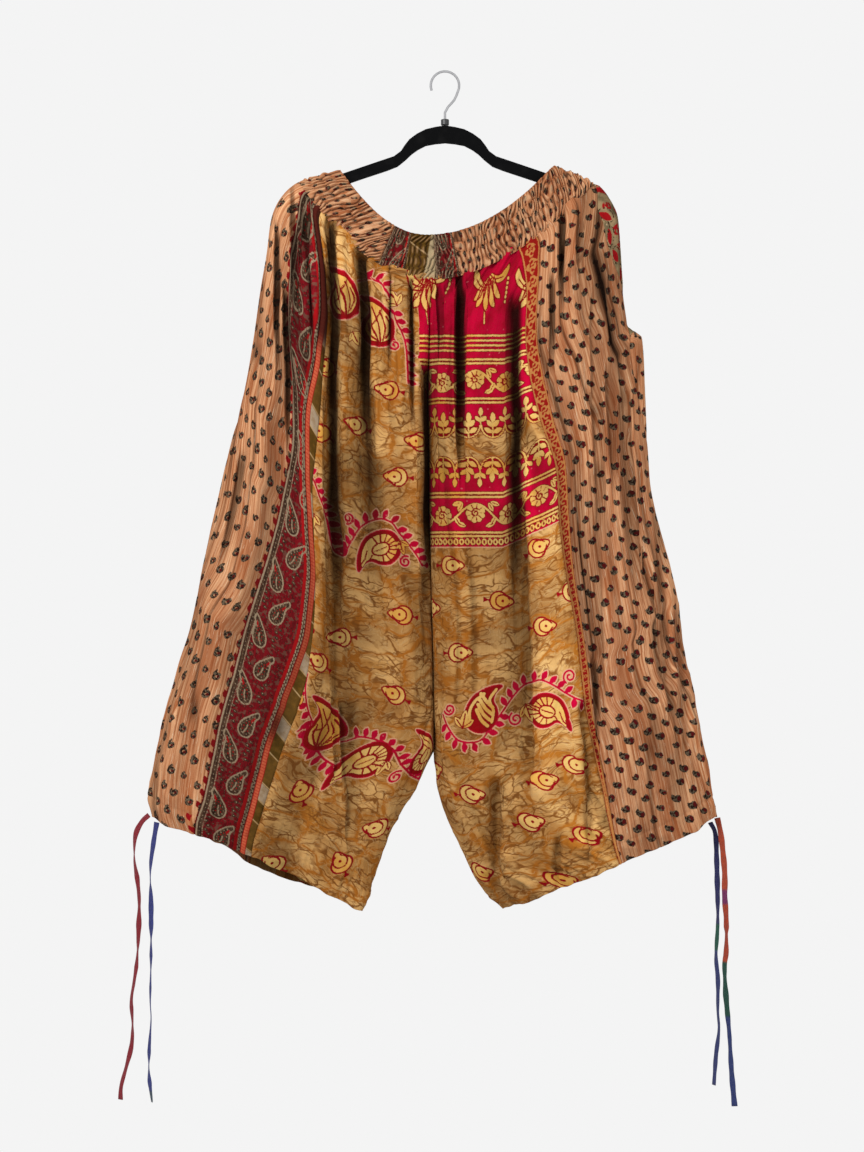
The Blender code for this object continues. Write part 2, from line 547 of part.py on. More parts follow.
def hanger_hook(collection):
    """A stem out of the collar, a bend to the right, and an arc over the rail to the left."""
    foot = ARCH_TOP + COLLAR_HEIGHT + 2 * SEAM_GAP
    middle = HOOK_WIRE / 2 - HOOK_RADIUS
    stem = [(0, 0, foot), (0, 0, foot + 0.009), (0.0040, 0, -0.0465), (0.0125, 0, -0.0370)]
    arc = []
    for degrees in range(-25, 201, 15):
        turn = math.radians(degrees)
        arc.append((HOOK_RADIUS * math.cos(turn), 0, middle + HOOK_RADIUS * math.sin(turn)))
    route = smooth_route(stem + arc, 2 * HOOK_WIRE)
    tube("hanger_hook", route, HOOK_WIRE, 3, material("hanger_hook", HOOK_STEEL, 1.0), collection)


def main():
    clear_scene()
    collection = bpy.data.collections.new("harem_trousers_on_hanger")
    bpy.context.scene.collection.children.link(collection)
    dotted = material("dotted_cotton", DOTTED_PEACH)
    paisley = material("paisley_cotton", PAISLEY_MAROON)
    batik = material("gold_batik", GOLD_BATIK)
    patch = material("olive_and_cream", OLIVE_CREAM)
    ornate = material("ornate_red", ORNATE_RED)
    cloths = collections.defaultdict(lambda: dotted)
    cloths.update({name: batik for name in (
        "left_inner_front", "left_inner_back", "right_inner_front", "right_inner_back")})
    cloths.update({name: paisley for name in (
        "left_border_front", "right_border_back", "waistband_patch_left", "waistband_patch_right")})
    cloths.update({name: patch for name in ("left_trim_front", "waistband_patch_middle")})
    cloths["right_trim_front"] = ornate
    waistband(cloths, collection)
    leg_panels(cloths, collection)
    ties(collection)
    hanger_body(collection)
    hanger_collar(collection)
    hanger_hook(collection)


main()
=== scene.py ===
# %% [markdown]
# # Patchwork harem trousers on a velvet hanger
#
# Wide, loose trousers sewn from several printed cotton sari cloths hang by their shirred waistband
# from a slim velvet hanger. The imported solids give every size. This notebook dresses them: each
# cut piece becomes one thin sheet of cloth with its folds, its print and its weave.

# %% Load the frame
import collections
import math

import bpy
import numpy as np
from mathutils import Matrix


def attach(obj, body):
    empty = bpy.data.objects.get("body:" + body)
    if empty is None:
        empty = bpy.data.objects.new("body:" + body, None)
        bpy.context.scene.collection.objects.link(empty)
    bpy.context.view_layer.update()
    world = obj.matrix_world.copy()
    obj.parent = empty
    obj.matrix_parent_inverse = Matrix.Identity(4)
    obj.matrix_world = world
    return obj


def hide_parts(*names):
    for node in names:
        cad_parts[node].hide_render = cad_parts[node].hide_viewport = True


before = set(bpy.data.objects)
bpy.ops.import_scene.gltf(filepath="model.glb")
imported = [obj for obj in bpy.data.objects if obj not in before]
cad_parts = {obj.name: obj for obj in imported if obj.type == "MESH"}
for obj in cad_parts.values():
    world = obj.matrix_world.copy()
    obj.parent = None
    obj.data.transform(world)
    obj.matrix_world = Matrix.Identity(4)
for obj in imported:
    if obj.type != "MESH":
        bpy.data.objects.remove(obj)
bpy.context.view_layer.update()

# %% [markdown]
# ## Camera and light
#
# The garment is seen square on from the front, at the height of its middle. A long lens keeps the
# outline undistorted. Soft, wide lamps from the front leave the deep pleats somewhat dark, painted
# shade in the cloth darkens them further, and a pale world fills the rest. The floor lies well
# below, since the garment hangs.

# %% Camera
CAMERA_X, CAMERA_Z, CAMERA_AWAY, LENS = -0.0175, -0.679, 3.0, 69.5

camera_data = bpy.data.cameras.new("camera")
camera_data.sensor_fit = "VERTICAL"
camera_data.sensor_height = 36.0
camera_data.lens = LENS
camera = bpy.data.objects.new("camera", camera_data)
camera.location = (CAMERA_X, -CAMERA_AWAY, CAMERA_Z)
camera.rotation_euler = (math.radians(90), 0, 0)
bpy.context.scene.collection.objects.link(camera)
bpy.context.scene.camera = camera
bpy.context.scene.view_settings.view_transform = "Standard"
print("camera", tuple(round(v, 3) for v in camera.location))

# %% World and lamps
PALE = (0.905, 0.905, 0.905)
GARMENT_MIDDLE = (0, 0, -0.6)


def area_lamp(name, place, size, power):
    """A round lamp that faces the garment's middle."""
    data = bpy.data.lights.new(name, "AREA")
    data.shape = "DISK"
    data.size = size
    data.energy = power
    lamp = bpy.data.objects.new(name, data)
    lamp.location = place
    way = np.array(GARMENT_MIDDLE, float) - np.array(place, float)
    tilt = math.atan2(math.hypot(way[0], way[1]), -way[2])
    lamp.rotation_euler = (tilt, 0, math.atan2(way[1], way[0]) - math.pi / 2)
    bpy.context.scene.collection.objects.link(lamp)


world = bpy.data.worlds.new("pale studio")
world.use_nodes = True
world.node_tree.nodes["Background"].inputs["Color"].default_value = (*PALE, 1)
world.node_tree.nodes["Background"].inputs["Strength"].default_value = 1.0
bpy.context.scene.world = world
area_lamp("key", (-1.3, -2.2, 0.7), 0.9, 84)
area_lamp("fill", (1.6, -2.0, -0.3), 1.4, 16)
print("lamps:", len(bpy.data.lights))

# %% Floor
FLOOR_Z, FLOOR_RADIUS, FLOOR_THICK = -1.78, 0.62, 0.02

bpy.ops.object.select_all(action="DESELECT")
bpy.ops.mesh.primitive_cylinder_add(
    vertices=96, radius=FLOOR_RADIUS, depth=FLOOR_THICK, location=(0, 0, FLOOR_Z - FLOOR_THICK / 2)
)
floor = bpy.context.object
floor.name = "floor"
floor_paint = bpy.data.materials.new("pale floor")
floor_paint.use_nodes = True
floor_shader = floor_paint.node_tree.nodes["Principled BSDF"]
floor_shader.inputs["Base Color"].default_value = (0.5, 0.5, 0.5, 1)
floor_shader.inputs["Roughness"].default_value = 0.9
floor.data.materials.append(floor_paint)
print("floor at", FLOOR_Z)

# %% [markdown]
# ## Helpers for materials
#
# Every finish is a small graph of nodes. The class below adds a node, sets it up and wires its
# inputs in one call: an input is either a number or another node's output. It also keeps the colour
# laid so far, so that a finish reads as a list of colours laid over one another.

# %% Material helpers
LIGHT_LEVEL = 2.15


def dye(red, green, blue):
    """A colour as it looks on a hanging sheet in this light, 0 to 255, as the light it returns."""
    values = [v / 255 for v in (red, green, blue)]
    light = [v / 12.92 if v <= 0.04045 else ((v + 0.055) / 1.055) ** 2.4 for v in values]
    return (*[v / LIGHT_LEVEL for v in light], 1.0)


class Finish:
    """A material in the making, with its surface coordinates and the colour laid so far."""

    def __init__(self, name):
        self.made = bpy.data.materials.new(name)
        self.made.use_nodes = True
        self.tree = self.made.node_tree
        self.shader = self.tree.nodes["Principled BSDF"]
        self.place = self.ground = None

    def wire(self, made, inputs):
        for name, value in inputs.items():
            if isinstance(value, bpy.types.NodeSocket):
                self.tree.links.new(value, made.inputs[name])
            else:
                made.inputs[name].default_value = value

    def node(self, kind, inputs, output=0, **settings):
        """Adds a node and returns one of its outputs. inputs maps a socket's name or number to a value."""
        made = self.tree.nodes.new("ShaderNode" + kind)
        for name, value in settings.items():
            setattr(made, name, value)
        self.wire(made, inputs)
        return made.outputs[output]

    def maths(self, operation, a, b=0.0):
        return self.node("Math", {0: a, 1: b}, operation=operation)

    def mix(self, share, a, b, blend="MIX"):
        return self.node("Mix", {0: share, 6: a, 7: b}, 2, data_type="RGBA", blend_type=blend)

    def ramp(self, value, low, high, to_low=0.0, to_high=1.0, kind="SMOOTHSTEP"):
        """A value between low and high, brought between to_low and to_high."""
        inputs = {"Value": value, 1: low, 2: high, 3: to_low, 4: to_high}
        return self.node("MapRange", inputs, interpolation_type=kind)

    def attribute(self, name):
        return self.node("Attribute", {}, 2, attribute_name=name)

    def noise(self, scale, detail, place=None):
        place = self.place if place is None else place
        return self.node("TexNoise", {"Vector": place, "Scale": scale, "Detail": detail})

    def stretched(self, across, along, turn=0.0, place=None):
        """The place on the cloth, scaled differently across and along the grain."""
        place = self.place if place is None else place
        scale, rotation = (across, along, 1.0), (0, 0, math.radians(turn))
        return self.node("Mapping", {"Vector": place, "Scale": scale, "Rotation": rotation})

    def grain(self, across, along, detail, turn=0.0, place=None):
        return self.noise(1.0, detail, self.stretched(across, along, turn, place))

    def over(self, share, shade, blend="MIX"):
        """Lays a colour over the ground where the share says so."""
        self.ground = self.mix(share, self.ground, shade, blend)

    def finish(self, strength, depth, height, inputs):
        """Wires up the ground, a bump of this strength and depth, and the shader's other inputs."""
        bump = self.node("Bump", {"Strength": strength, "Distance": depth, "Height": height})
        self.wire(self.shader, {"Base Color": self.ground, "Normal": bump, **inputs})
        return self.made


print("helpers ready")

# %% [markdown]
# ## The four tie ends
#
# A drawstring runs hidden in each hem channel, and its two ends hang free from the slit at the outer
# corner. They are torn strips of sari cloth folded into flat tapes about 8 mm wide. A tape that hangs
# turns now face on and now edge on, so each one is swept along its route as a flat section whose
# turn comes from a short table of percent along and degrees. They are limp, so they hang straight
# down with slight waves. Routes, like all the tables of this notebook, are in thousandths.

# %% Tie routes
TAPE_WIDTH, TAPE_THICK, TAPE_STEP = 0.0082, 0.0014, 0.003
Tape = collections.namedtuple("Tape", "name slot route turns dyes")


def thousandths(rows):
    """Rows of numbers, each brought to metres or to a share."""
    return [tuple(value / 1000 for value in row) for row in rows]


TAPES = [
    Tape(
        "left_tie_red", "tape_red",
        [(-399, -2, -1001), (-409, -3, -1011), (-417, -4, -1029), (-418.5, -4, -1060),
         (-414.5, -3, -1089), (-412, -3, -1123), (-414.5, -4, -1191), (-418.5, -5, -1224),
         (-422.5, -4, -1251), (-421, -3, -1285), (-422.5, -3, -1312), (-429, -4, -1339),
         (-436, -5, -1366), (-437, -5, -1384)],
        [(0, 30), (6, 10), (15, 78), (23, 25), (33, 55), (40, 10), (48, 70), (54, 40), (62, 60),
         (68, 40), (74, 68), (82, 25), (90, 50), (100, 30)],
        [(0.0, dye(150, 22, 38))],
    ),
    Tape(
        "left_tie_blue", "tape_blue",
        [(-389, 2, -1011.5), (-394, 3, -1042), (-398, 4, -1076), (-397, 4, -1123), (-397, 3, -1197),
         (-398, 3, -1251), (-397, 4, -1278), (-399.5, 4, -1319), (-399.5, 3, -1353), (-395.5, 2, -1389)],
        [(0, 20), (12, 35), (21, 88), (27, 25), (36, 20), (42, 75), (48, 50), (53, 80), (59, 60),
         (68, 85), (76, 65), (82, 40), (87, 85), (93, 35), (100, 70)],
        [(0.0, dye(58, 66, 140)), (0.96, dye(60, 80, 96))],
    ),
    Tape(
        "right_tie_navy", "tape_navy",
        [(358, 2, -1011.5), (365, 3, -1027), (367, 4, -1062), (368.5, 4, -1143), (366, 3, -1191),
         (368.5, 3, -1224), (368.5, 4, -1265), (370, 4, -1292), (366, 3, -1326), (363, 2, -1366)],
        [(0, 40), (12, 35), (25, 25), (36, 70), (43, 50), (50, 65), (58, 40), (70, 68), (78, 75),
         (87, 45), (100, 60)],
        [(0.0, dye(38, 40, 100)), (0.39, dye(20, 92, 72)), (0.49, dye(48, 58, 118))],
    ),
    Tape(
        "right_tie_orange", "tape_orange",
        [(367, -2, -1005), (372, -3, -1029), (376.6, -4, -1076), (376.8, -4, -1110), (379, -3, -1143),
         (379, -3, -1184), (376.6, -4, -1204), (378, -4, -1238), (381, -3, -1272), (383.4, -3, -1299),
         (386, -4, -1346), (390, -5, -1393)],
        [(0, 15), (25, 10), (38, 35), (40, 70), (44, 50), (49, 25), (55, 60), (62, 15), (70, 40),
         (78, 55), (88, 30), (100, 15)],
        [(0.0, dye(192, 72, 36)), (0.25, dye(132, 40, 100)), (0.30, dye(186, 66, 34)),
         (0.50, dye(16, 78, 62)), (0.69, dye(46, 62, 124))],
    ),
]


def between(a, b, c, d, t):
    """The place at t from b to c on a smooth curve through four places."""
    return 0.5 * (2 * b + (c - a) * t + (2 * a - 5 * b + 4 * c - d) * t**2 + (3 * b - a - 3 * c + d) * t**3)


def smooth_route(points, spacing):
    """Points about this far apart on a smooth curve through the given ones."""
    knots = [np.array(point, float) for point in points]
    knots = [2 * knots[0] - knots[1], *knots, 2 * knots[-1] - knots[-2]]
    route = []
    for a, b, c, d in zip(knots, knots[1:], knots[2:], knots[3:]):
        count = max(1, round(float(np.linalg.norm(c - b)) / spacing))
        route += [between(a, b, c, d, i / count) for i in range(count)]
    return np.array([*route, knots[-2]])


def mesh_object(name, mesh, finish):
    """An object of a mesh, shaded smooth."""
    mesh.shade_smooth()
    mesh.materials.append(finish)
    made = bpy.data.objects.new(name, mesh)
    bpy.context.scene.collection.objects.link(made)
    return made


def add_attribute(made, name, values):
    layer = made.data.attributes.new(name, "FLOAT", "POINT")
    layer.data.foreach_set("value", np.ascontiguousarray(values, np.float32).ravel())


print("tapes:", [tape.name for tape in TAPES])

# %% Tape cloth


def tape_material(tape):
    """Plain woven strip, dyed in stretches along its length, with a fold line down its middle."""
    strip = Finish(tape.slot.replace("_", " "))
    length, width = strip.attribute("tape_length"), strip.attribute("tape_width")
    strip.ground = tape.dyes[0][1]
    for start, shade in tape.dyes[1:]:
        strip.over(strip.ramp(length, start - 0.006, start + 0.006), shade)
    strip.place = strip.node("CombineXYZ", {0: length, 1: width})
    mottle, glint = strip.grain(60, 3, 3), strip.grain(300, 14, 2)
    strip.over(strip.ramp(mottle, 0.35, 0.7, 0.0, 0.35), (0.01, 0.01, 0.015, 1))
    # Painted glints of light: pale streaks where the same noise raises the bump.
    strip.over(strip.ramp(glint, 0.55, 0.75, 0.0, 0.16), (0.8, 0.75, 0.7, 1))
    crease = strip.ramp(strip.maths("ABSOLUTE", width), 0.0, 0.25, -1.0, 0.0)
    height = strip.maths("ADD", crease, strip.maths("MULTIPLY", glint, 0.7))
    return strip.finish(0.6, 0.0006, height,
                        {"Roughness": 0.75, "Specular IOR Level": 0.15, "Sheen Weight": 0.05})


def tape_mesh(tape):
    """Sweeps the flat section along the route. Returns the tape's length."""
    route = smooth_route(thousandths(tape.route), TAPE_STEP)
    steps = np.linalg.norm(np.diff(route, axis=0), axis=1)
    part = np.concatenate([[0], np.cumsum(steps)]) / steps.sum()
    along = np.gradient(route, axis=0)
    along /= np.linalg.norm(along, axis=1, keepdims=True)
    side = np.array([1.0, 0, 0]) - along * along[:, :1]
    side /= np.linalg.norm(side, axis=1, keepdims=True)
    face = np.cross(along, side)
    turn = np.radians(np.interp(100 * part, *zip(*tape.turns)))[:, None]
    wide = side * np.cos(turn) + face * np.sin(turn)
    flat = face * np.cos(turn) - side * np.sin(turn)
    around = np.radians(np.arange(0, 360, 30))
    across = np.sign(np.cos(around)) * np.abs(np.cos(around)) ** 0.7 * TAPE_WIDTH / 2
    deep = np.sin(around) * TAPE_THICK / 2
    uneven = (1 - 0.14 * np.sin(part * 41) ** 2)[:, None, None]
    rings = (route[:, None] + wide[:, None] * across[None, :, None] * uneven
             + flat[:, None] * deep[None, :, None])
    count, last = len(around), len(route) - 1
    faces = [[i * count + j, i * count + (j + 1) % count, (i + 1) * count + (j + 1) % count,
              (i + 1) * count + j] for i in range(last) for j in range(count)]
    faces += [list(range(count))[::-1], list(range(last * count, last * count + count))]
    mesh = bpy.data.meshes.new(tape.name + "_tape")
    mesh.from_pydata(rings.reshape(-1, 3).tolist(), [], faces)
    made = mesh_object(tape.name + "_tape", mesh, tape_material(tape))
    add_attribute(made, "tape_length", np.repeat(part, count))
    add_attribute(made, "tape_width", np.tile(across / TAPE_WIDTH * 2, len(route)))
    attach(made, "root")
    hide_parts(tape.name)
    return float(steps.sum())


for tape in TAPES:
    print(tape.name, "length", round(tape_mesh(tape), 3), "m")

# %% [markdown]
# ## The form of the garment
#
# Each leg is a flat tube of cloth. A place on it has two coordinates: "across" runs from 0 at the
# outer fold to 1 at the centre seam, positive on the front and negative on the back, and "down" is 0
# at the waistband's lower edge and 1 at the hem. The tables are the ones that the solids are built
# from, so that each sheet lies on its solid. Their numbers are thousandths, of a metre or of a share.

# %% Sections of the two legs


def table(names, *rows):
    """Rows with named columns."""
    row_type = collections.namedtuple("Row", names)
    return [row_type(*row) for row in thousandths(rows)]


LEFT_SECTIONS = table(
    "down outer_x outer_z inner_x inner_z front_sag back_sag side_seam border trim inner",
    (-70, -142, -131, -15, -221, 26, 29, 0, 50, 130, 170),
    (0, -198, -148, -12, -281, 35, 35, 0, 50, 130, 170),
    (35, -221, -169, -20, -309, 38, 38, 0, 115, 245, 285),
    (70, -233, -197, -21, -340, 42, 42, 0, 135, 310, 350),
    (120, -239, -242, -22, -383, 46, 46, 0, 140, 335, 380),
    (180, -248, -293, -23, -436, 50, 50, 0, 170, 335, 385),
    (260, -258, -363, -22, -505, 54, 54, 0, 230, 310, 385),
    (340, -271, -433, -22, -575, 56, 56, 0, 265, 340, 385),
    (420, -289, -502, -20, -644, 56, 56, 20, 262, 395, 425),
    (500, -304, -571, -18, -714, 52, 52, 35, 245, 435, 460),
    (580, -320, -640, -16, -784, 46, 46, 18, 222, 440, 475),
    (660, -334, -710, -15, -853, 38, 38, 0, 200, 410, 470),
    (727, -348, -767, -14, -911, 30, 30, 0, 195, 385, 452),
    (790, -364, -821, -39, -961, 20, 22, 0, 205, 393, 460),
    (860, -380, -881, -69, -1013, 10, 14, 0, 228, 420, 480),
    (930, -393, -942, -90, -1070, 0, 8, 0, 238, 430, 484),
    (975, -398, -981, -103, -1106, -6, 4, 0, 225, 430, 482),
    (1000, -395, -1003, -111, -1127, -10, 2, 0, 215, 427, 480),
)
RIGHT_SECTIONS = table(
    "down outer_x outer_z inner_x inner_z front_sag back_sag side_seam trim inner",
    (-70, 148, -125, -15, -221, 22, 25, 0, 360, 480), (0, 201, -150, -12, -281, 28, 28, 0, 360, 480),
    (35, 224, -171, -20, -309, 32, 32, 75, 400, 485), (70, 235, -198, -21, -340, 38, 38, 79, 430, 495),
    (120, 237, -243, -22, -383, 44, 44, 43, 440, 505), (180, 240, -296, -23, -436, 50, 50, 0, 420, 485),
    (234, 246, -341, -22, -483, 54, 54, 0, 397, 460),
    (252, 247.5, -358, -22, -498, 55, 55, 40, 388, 445),
    (340, 256.5, -436, -22, -575, 58, 58, 23, 342, 389),
    (420, 264.5, -504, -20, -644, 58, 58, 0, 348, 394), (500, 278, -574, -18, -714, 54, 54, 0, 360, 395),
    (580, 295, -642, -16, -784, 48, 48, 0, 365, 393), (660, 311, -710, -15, -853, 40, 40, 0, 370, 402),
    (727, 318, -768, -14, -911, 30, 30, 0, 372, 400), (790, 330, -822, -7, -967, 22, 22, 0, 378, 403),
    (860, 340, -883, 14, -1025, 14, 14, 0, 390, 409), (930, 352, -943, 39, -1080, 8, 8, 0, 412, 428),
    (975, 358, -983, 63, -1111, 5, 5, 0, 432, 446), (1000, 363, -1003, 78, -1126, 4, 4, 0, 445, 458),
)
HIP_FLARE = table(
    "down reach",
    (0, 0), (234, 0), (252, 17.5), (340, 12.5), (420, 7.5), (500, 0), (1000, 0),
)
FLARE_SHARE = 0.2
DEPTHS = table(
    "down front back outer_reach seam_share seam_reach",
    (-70, 13, 13, 24, 1000, 20), (0, 14, 14, 24, 1000, 20), (35, 23, 21, 28, 700, 20),
    (70, 29, 26, 34, 450, 20), (120, 34, 31, 42, 330, 20), (200, 38, 35, 45, 300, 22),
    (420, 43, 41, 45, 280, 22), (600, 47, 45, 48, 220, 26), (700, 49, 47, 50, 120, 30),
    (727, 50, 48, 50, 60, 34), (735, 50, 48, 50, 0, 36), (790, 50, 48, 50, 0, 45),
    (860, 48, 46, 50, 0, 50), (950, 42, 41, 46, 0, 50), (1000, 36, 38, 40, 0, 45),
)
BAND_TOP, CROTCH, LEG_LENGTH = -0.07, 0.727, 0.870
print("sections:", len(LEFT_SECTIONS), "left,", len(RIGHT_SECTIONS), "right")

# %% [markdown]
# ## Folds
#
# The cloth is gathered into the waistband, so it falls in pleats. The first table holds the largest
# folds, as the solids have them. The second adds the sharper creases that only the cloth sheet
# shows. Each crease runs from "start" to "end" down the leg, along a line that lies at top_x and
# then end_x. It takes a share of the local depth, falls off over one distance to its left and
# another to its right, because a pleat has one steep side, and "shade" says how dark its inside is.

# %% Fold tables
FRONT, BACK = 1, -1
FOLD_COLUMNS = "top_x end_x start end share half_width"
CREASE_COLUMNS = "top_x end_x start end share left_reach right_reach shade"
FOLDS = {
    FRONT: table(
        FOLD_COLUMNS,
        (-224, -236, 30, 420, 220, 10), (-266, -306, 400, 680, 180, 11), (-158, -133, 0, 860, 440, 12),
        (-111, -108, 0, 340, 360, 11), (-96, -92, 200, 600, 300, 16), (-77, -74, 0, 220, 320, 11),
        (-43, -44, 0, 300, 340, 11), (20, 18, 0, 320, 380, 11), (102, 107, 20, 620, 380, 13),
        (132, 134, 50, 200, 220, 10), (159, 166, 0, 160, 280, 9), (196, 200, 80, 560, 200, 15),
        (205, 212, 420, 800, 220, 13), (68, 70, 780, 1020, 200, 12),
    ),
    BACK: table(
        FOLD_COLUMNS,
        (-215, -250, 20, 500, 250, 14), (-165, -190, 0, 800, 450, 14), (-110, -118, 0, 400, 500, 13),
        (-60, -72, 0, 660, 450, 13), (30, 36, 0, 440, 500, 13), (84, 100, 0, 780, 450, 14),
        (140, 160, 0, 520, 400, 14), (200, 245, 30, 700, 250, 14),
    ),
}
CREASES = {
    FRONT: table(
        CREASE_COLUMNS,
        (-151, -145, -20, 680, 550, 7.5, 8.5, 992), (-111.5, -96.5, -20, 360, 500, 7.5, 6.5, 988),
        (-110, -98, 40, 460, 100, 30, 6, 450), (-144, -139, 260, 980, 160, 5, 64, 520),
        (-92, -90, 260, 560, 120, 15, 7, 400), (104, 116, 340, 920, 240, 38, 4.5, 600),
        (180, 195, 700, 1020, 240, 5, 13, 260), (205, 211, 360, 860, 140, 14, 4, 360),
        (-98, -94, 160, 460, 160, 12, 5, 350), (-73.5, -74.5, -20, 160, 450, 4, 3, 900),
        (-44, -42.5, -10, 250, 500, 4.5, 3.5, 950), (-26.2, -24, 120, 600, 550, 7, 8.5, 985),
        (-11, -8, -10, 150, 200, 2, 4.5, 600), (18.5, 22.5, -20, 340, 600, 4, 4.5, 992),
        (96.5, 96.5, 50, 560, 550, 9, 8, 992), (88, 90, 40, 500, 60, 18, 6, 450),
        (143, 144.5, 50, 220, 250, 3.5, 3, 800), (157, 158, -20, 150, 360, 4, 4, 900),
        (177, 184, -10, 120, 250, 3.5, 3.5, 500), (198.5, 203, 120, 500, 160, 3, 11, 320),
        (198, 201, 640, 820, 220, 3, 4.5, 650), (-226.5, -224, 60, 320, 260, 3, 4, 940),
        (-214, -206, 120, 400, 220, 3, 3.5, 950), (-206, -198, 0, 180, 200, 3, 4, 780),
        (-186, -174, 0, 200, 220, 5, 4, 700), (-244, -260, 40, 360, 160, 4, 9, 350),
        (-270, -306, 400, 620, 200, 3, 5, 700), (-330, -362, 560, 900, 200, 4, 11, 300),
        (-136, -126, 660, 960, 220, 3, 16, 420), (70.5, 72.5, 780, 1060, 340, 12, 3, 300),
        (150, 152, 900, 1010, 180, 6, 5, 350), (240, 262, 300, 700, 260, 9, 4, 400),
        (278, 302, 500, 860, 260, 4, 9, 360), (218, 226, 240, 480, 220, 3.5, 8, 450),
        (306, 324, 660, 960, 220, 3.5, 8, 300),
    ),
    BACK: table(
        CREASE_COLUMNS,
        (-150, -160, -10, 400, 400, 5, 7, 930), (-90, -94, -10, 300, 400, 6, 4, 900),
        (-40, -46, -10, 360, 400, 4, 6, 930), (18, 16, -10, 240, 400, 5, 4, 900),
        (62, 70, -10, 340, 400, 4, 6, 900), (116, 126, -10, 300, 350, 6, 4, 850),
        (172, 190, -10, 420, 300, 5, 6, 700), (-190, -216, 0, 340, 280, 5, 6, 650),
    ),
}
for side, word in ((FRONT, "front"), (BACK, "back")):
    print(word, "folds:", len(FOLDS[side]), "creases:", len(CREASES[side]))

# %% Surface of a leg


def column(rows, name, down):
    """A named column of a table at the given "down" values, as a smooth curve with no overshoot."""
    knots = np.array([row.down for row in rows], float)
    values = np.array([getattr(row, name) for row in rows], float)
    steps = np.diff(knots)
    slopes = np.diff(values) / steps
    tangents = np.empty(len(knots))
    tangents[0], tangents[-1] = slopes[0], slopes[-1]
    both = slopes[:-1] * slopes[1:]
    total = np.where(both > 0, slopes[:-1] + slopes[1:], 1.0)
    tangents[1:-1] = np.where(both > 0, 2 * both / total, 0.0)
    at = np.clip(np.searchsorted(knots, down, side="right") - 1, 0, len(knots) - 2)
    part = np.clip((down - knots[at]) / steps[at], 0.0, 1.0)
    rise = part * part * (3 - 2 * part)
    return (values[at] * (1 - rise) + values[at + 1] * rise
            + steps[at] * tangents[at] * part * (1 - part) ** 2
            - steps[at] * tangents[at + 1] * part * part * (1 - part))


def inner_end(rows, name, down):
    """The same, with a corner at the crotch. Above it both legs share one seam."""
    above = [row for row in LEFT_SECTIONS if row.down <= CROTCH]
    below = [row for row in rows if row.down >= CROTCH]
    return np.where(down <= CROTCH, column(above, name, down), column(below, name, down))


def rounded(distance, reach):
    """0 at an edge, rising like a quarter circle to 1 at the given reach."""
    left = 1 - np.clip(distance / reach, 0.0, 1.0)
    return np.sqrt(1 - left * left)


def smooth_step(value):
    value = np.clip(value, 0.0, 1.0)
    return value * value * (3 - 2 * value)


def along_fold(fold, x, down):
    """How far down a fold each place is, 0 to 1, and how far to the right of its line."""
    part = (down - fold.start) / (fold.end - fold.start)
    return part, x - fold.top_x - (fold.end_x - fold.top_x) * np.clip(part, 0, 1)


def fold_share(side, x, down):
    """The share of the local depth that the largest folds take away."""
    kept = np.ones_like(x)
    for fold in FOLDS[side]:
        part, off = along_fold(fold, x, down)
        strength = np.clip((down - fold.start) / 0.05, 0.0, 1.0) * smooth_step((1 - part) / 0.45)
        kept *= 1 - fold.share * strength * np.exp(-((off / fold.half_width) ** 2))
    return 1 - kept


def crease_share(side, x, down, sway):
    """The share that the sharper creases take, and how dark they are. sway bends their lines."""
    kept, light = np.ones_like(x), np.ones_like(x)
    for crease in CREASES[side]:
        part, off = along_fold(crease, x, down)
        off = off - sway
        fades = smooth_step((1 - part) / 0.5)
        strength = fades * smooth_step((down - crease.start) / 0.03)
        reach = np.where(off < 0, crease.left_reach, crease.right_reach) * (0.45 + 0.55 * fades)
        away = np.abs(off / reach)
        sharp = reach < 0.012
        lip = np.where(sharp, 0.16 * np.exp(-(((away - 1.75) / 0.45) ** 2)), 0.0)
        kept *= 1 - crease.share * strength * (np.exp(-away ** np.where(sharp, 3, 2)) - lip)
        light *= 1 - crease.shade * strength * np.exp(-away ** np.where(sharp, 5, 2))
    return 1 - kept, 1 - light


def soft_noise(u, v, width, height, seed):
    """Smooth hills and hollows from -1 to 1, about width by height in size."""
    lattice = np.random.default_rng(seed).uniform(-1, 1, (97, 89))
    s, t = u / width, v / height
    i, j = np.floor(s).astype(int), np.floor(t).astype(int)
    a, b = smooth_step(s - i), smooth_step(t - j)
    get = lambda p, q: lattice[p % 97, q % 89]
    return ((get(i, j) * (1 - a) + get(i + 1, j) * a) * (1 - b)
            + (get(i, j + 1) * (1 - a) + get(i + 1, j + 1) * a) * b)


print("surface ready")

# %% [markdown]
# ## From the form to cloth sheets
#
# Each cut piece becomes one thin sheet, a dense grid of points, so that narrow creases and small
# gathers can be real shape and not only paint. The columns are spaced evenly along the cloth and not
# along x, because cloth keeps its width where it dips into a pleat. A sheet starts a little above
# its seam with the waistband, tucked under it, its side edges turn in where they are sewn to the next
# piece, and its hem turns under.

# %% A place on a leg
SWAY = 0.0016


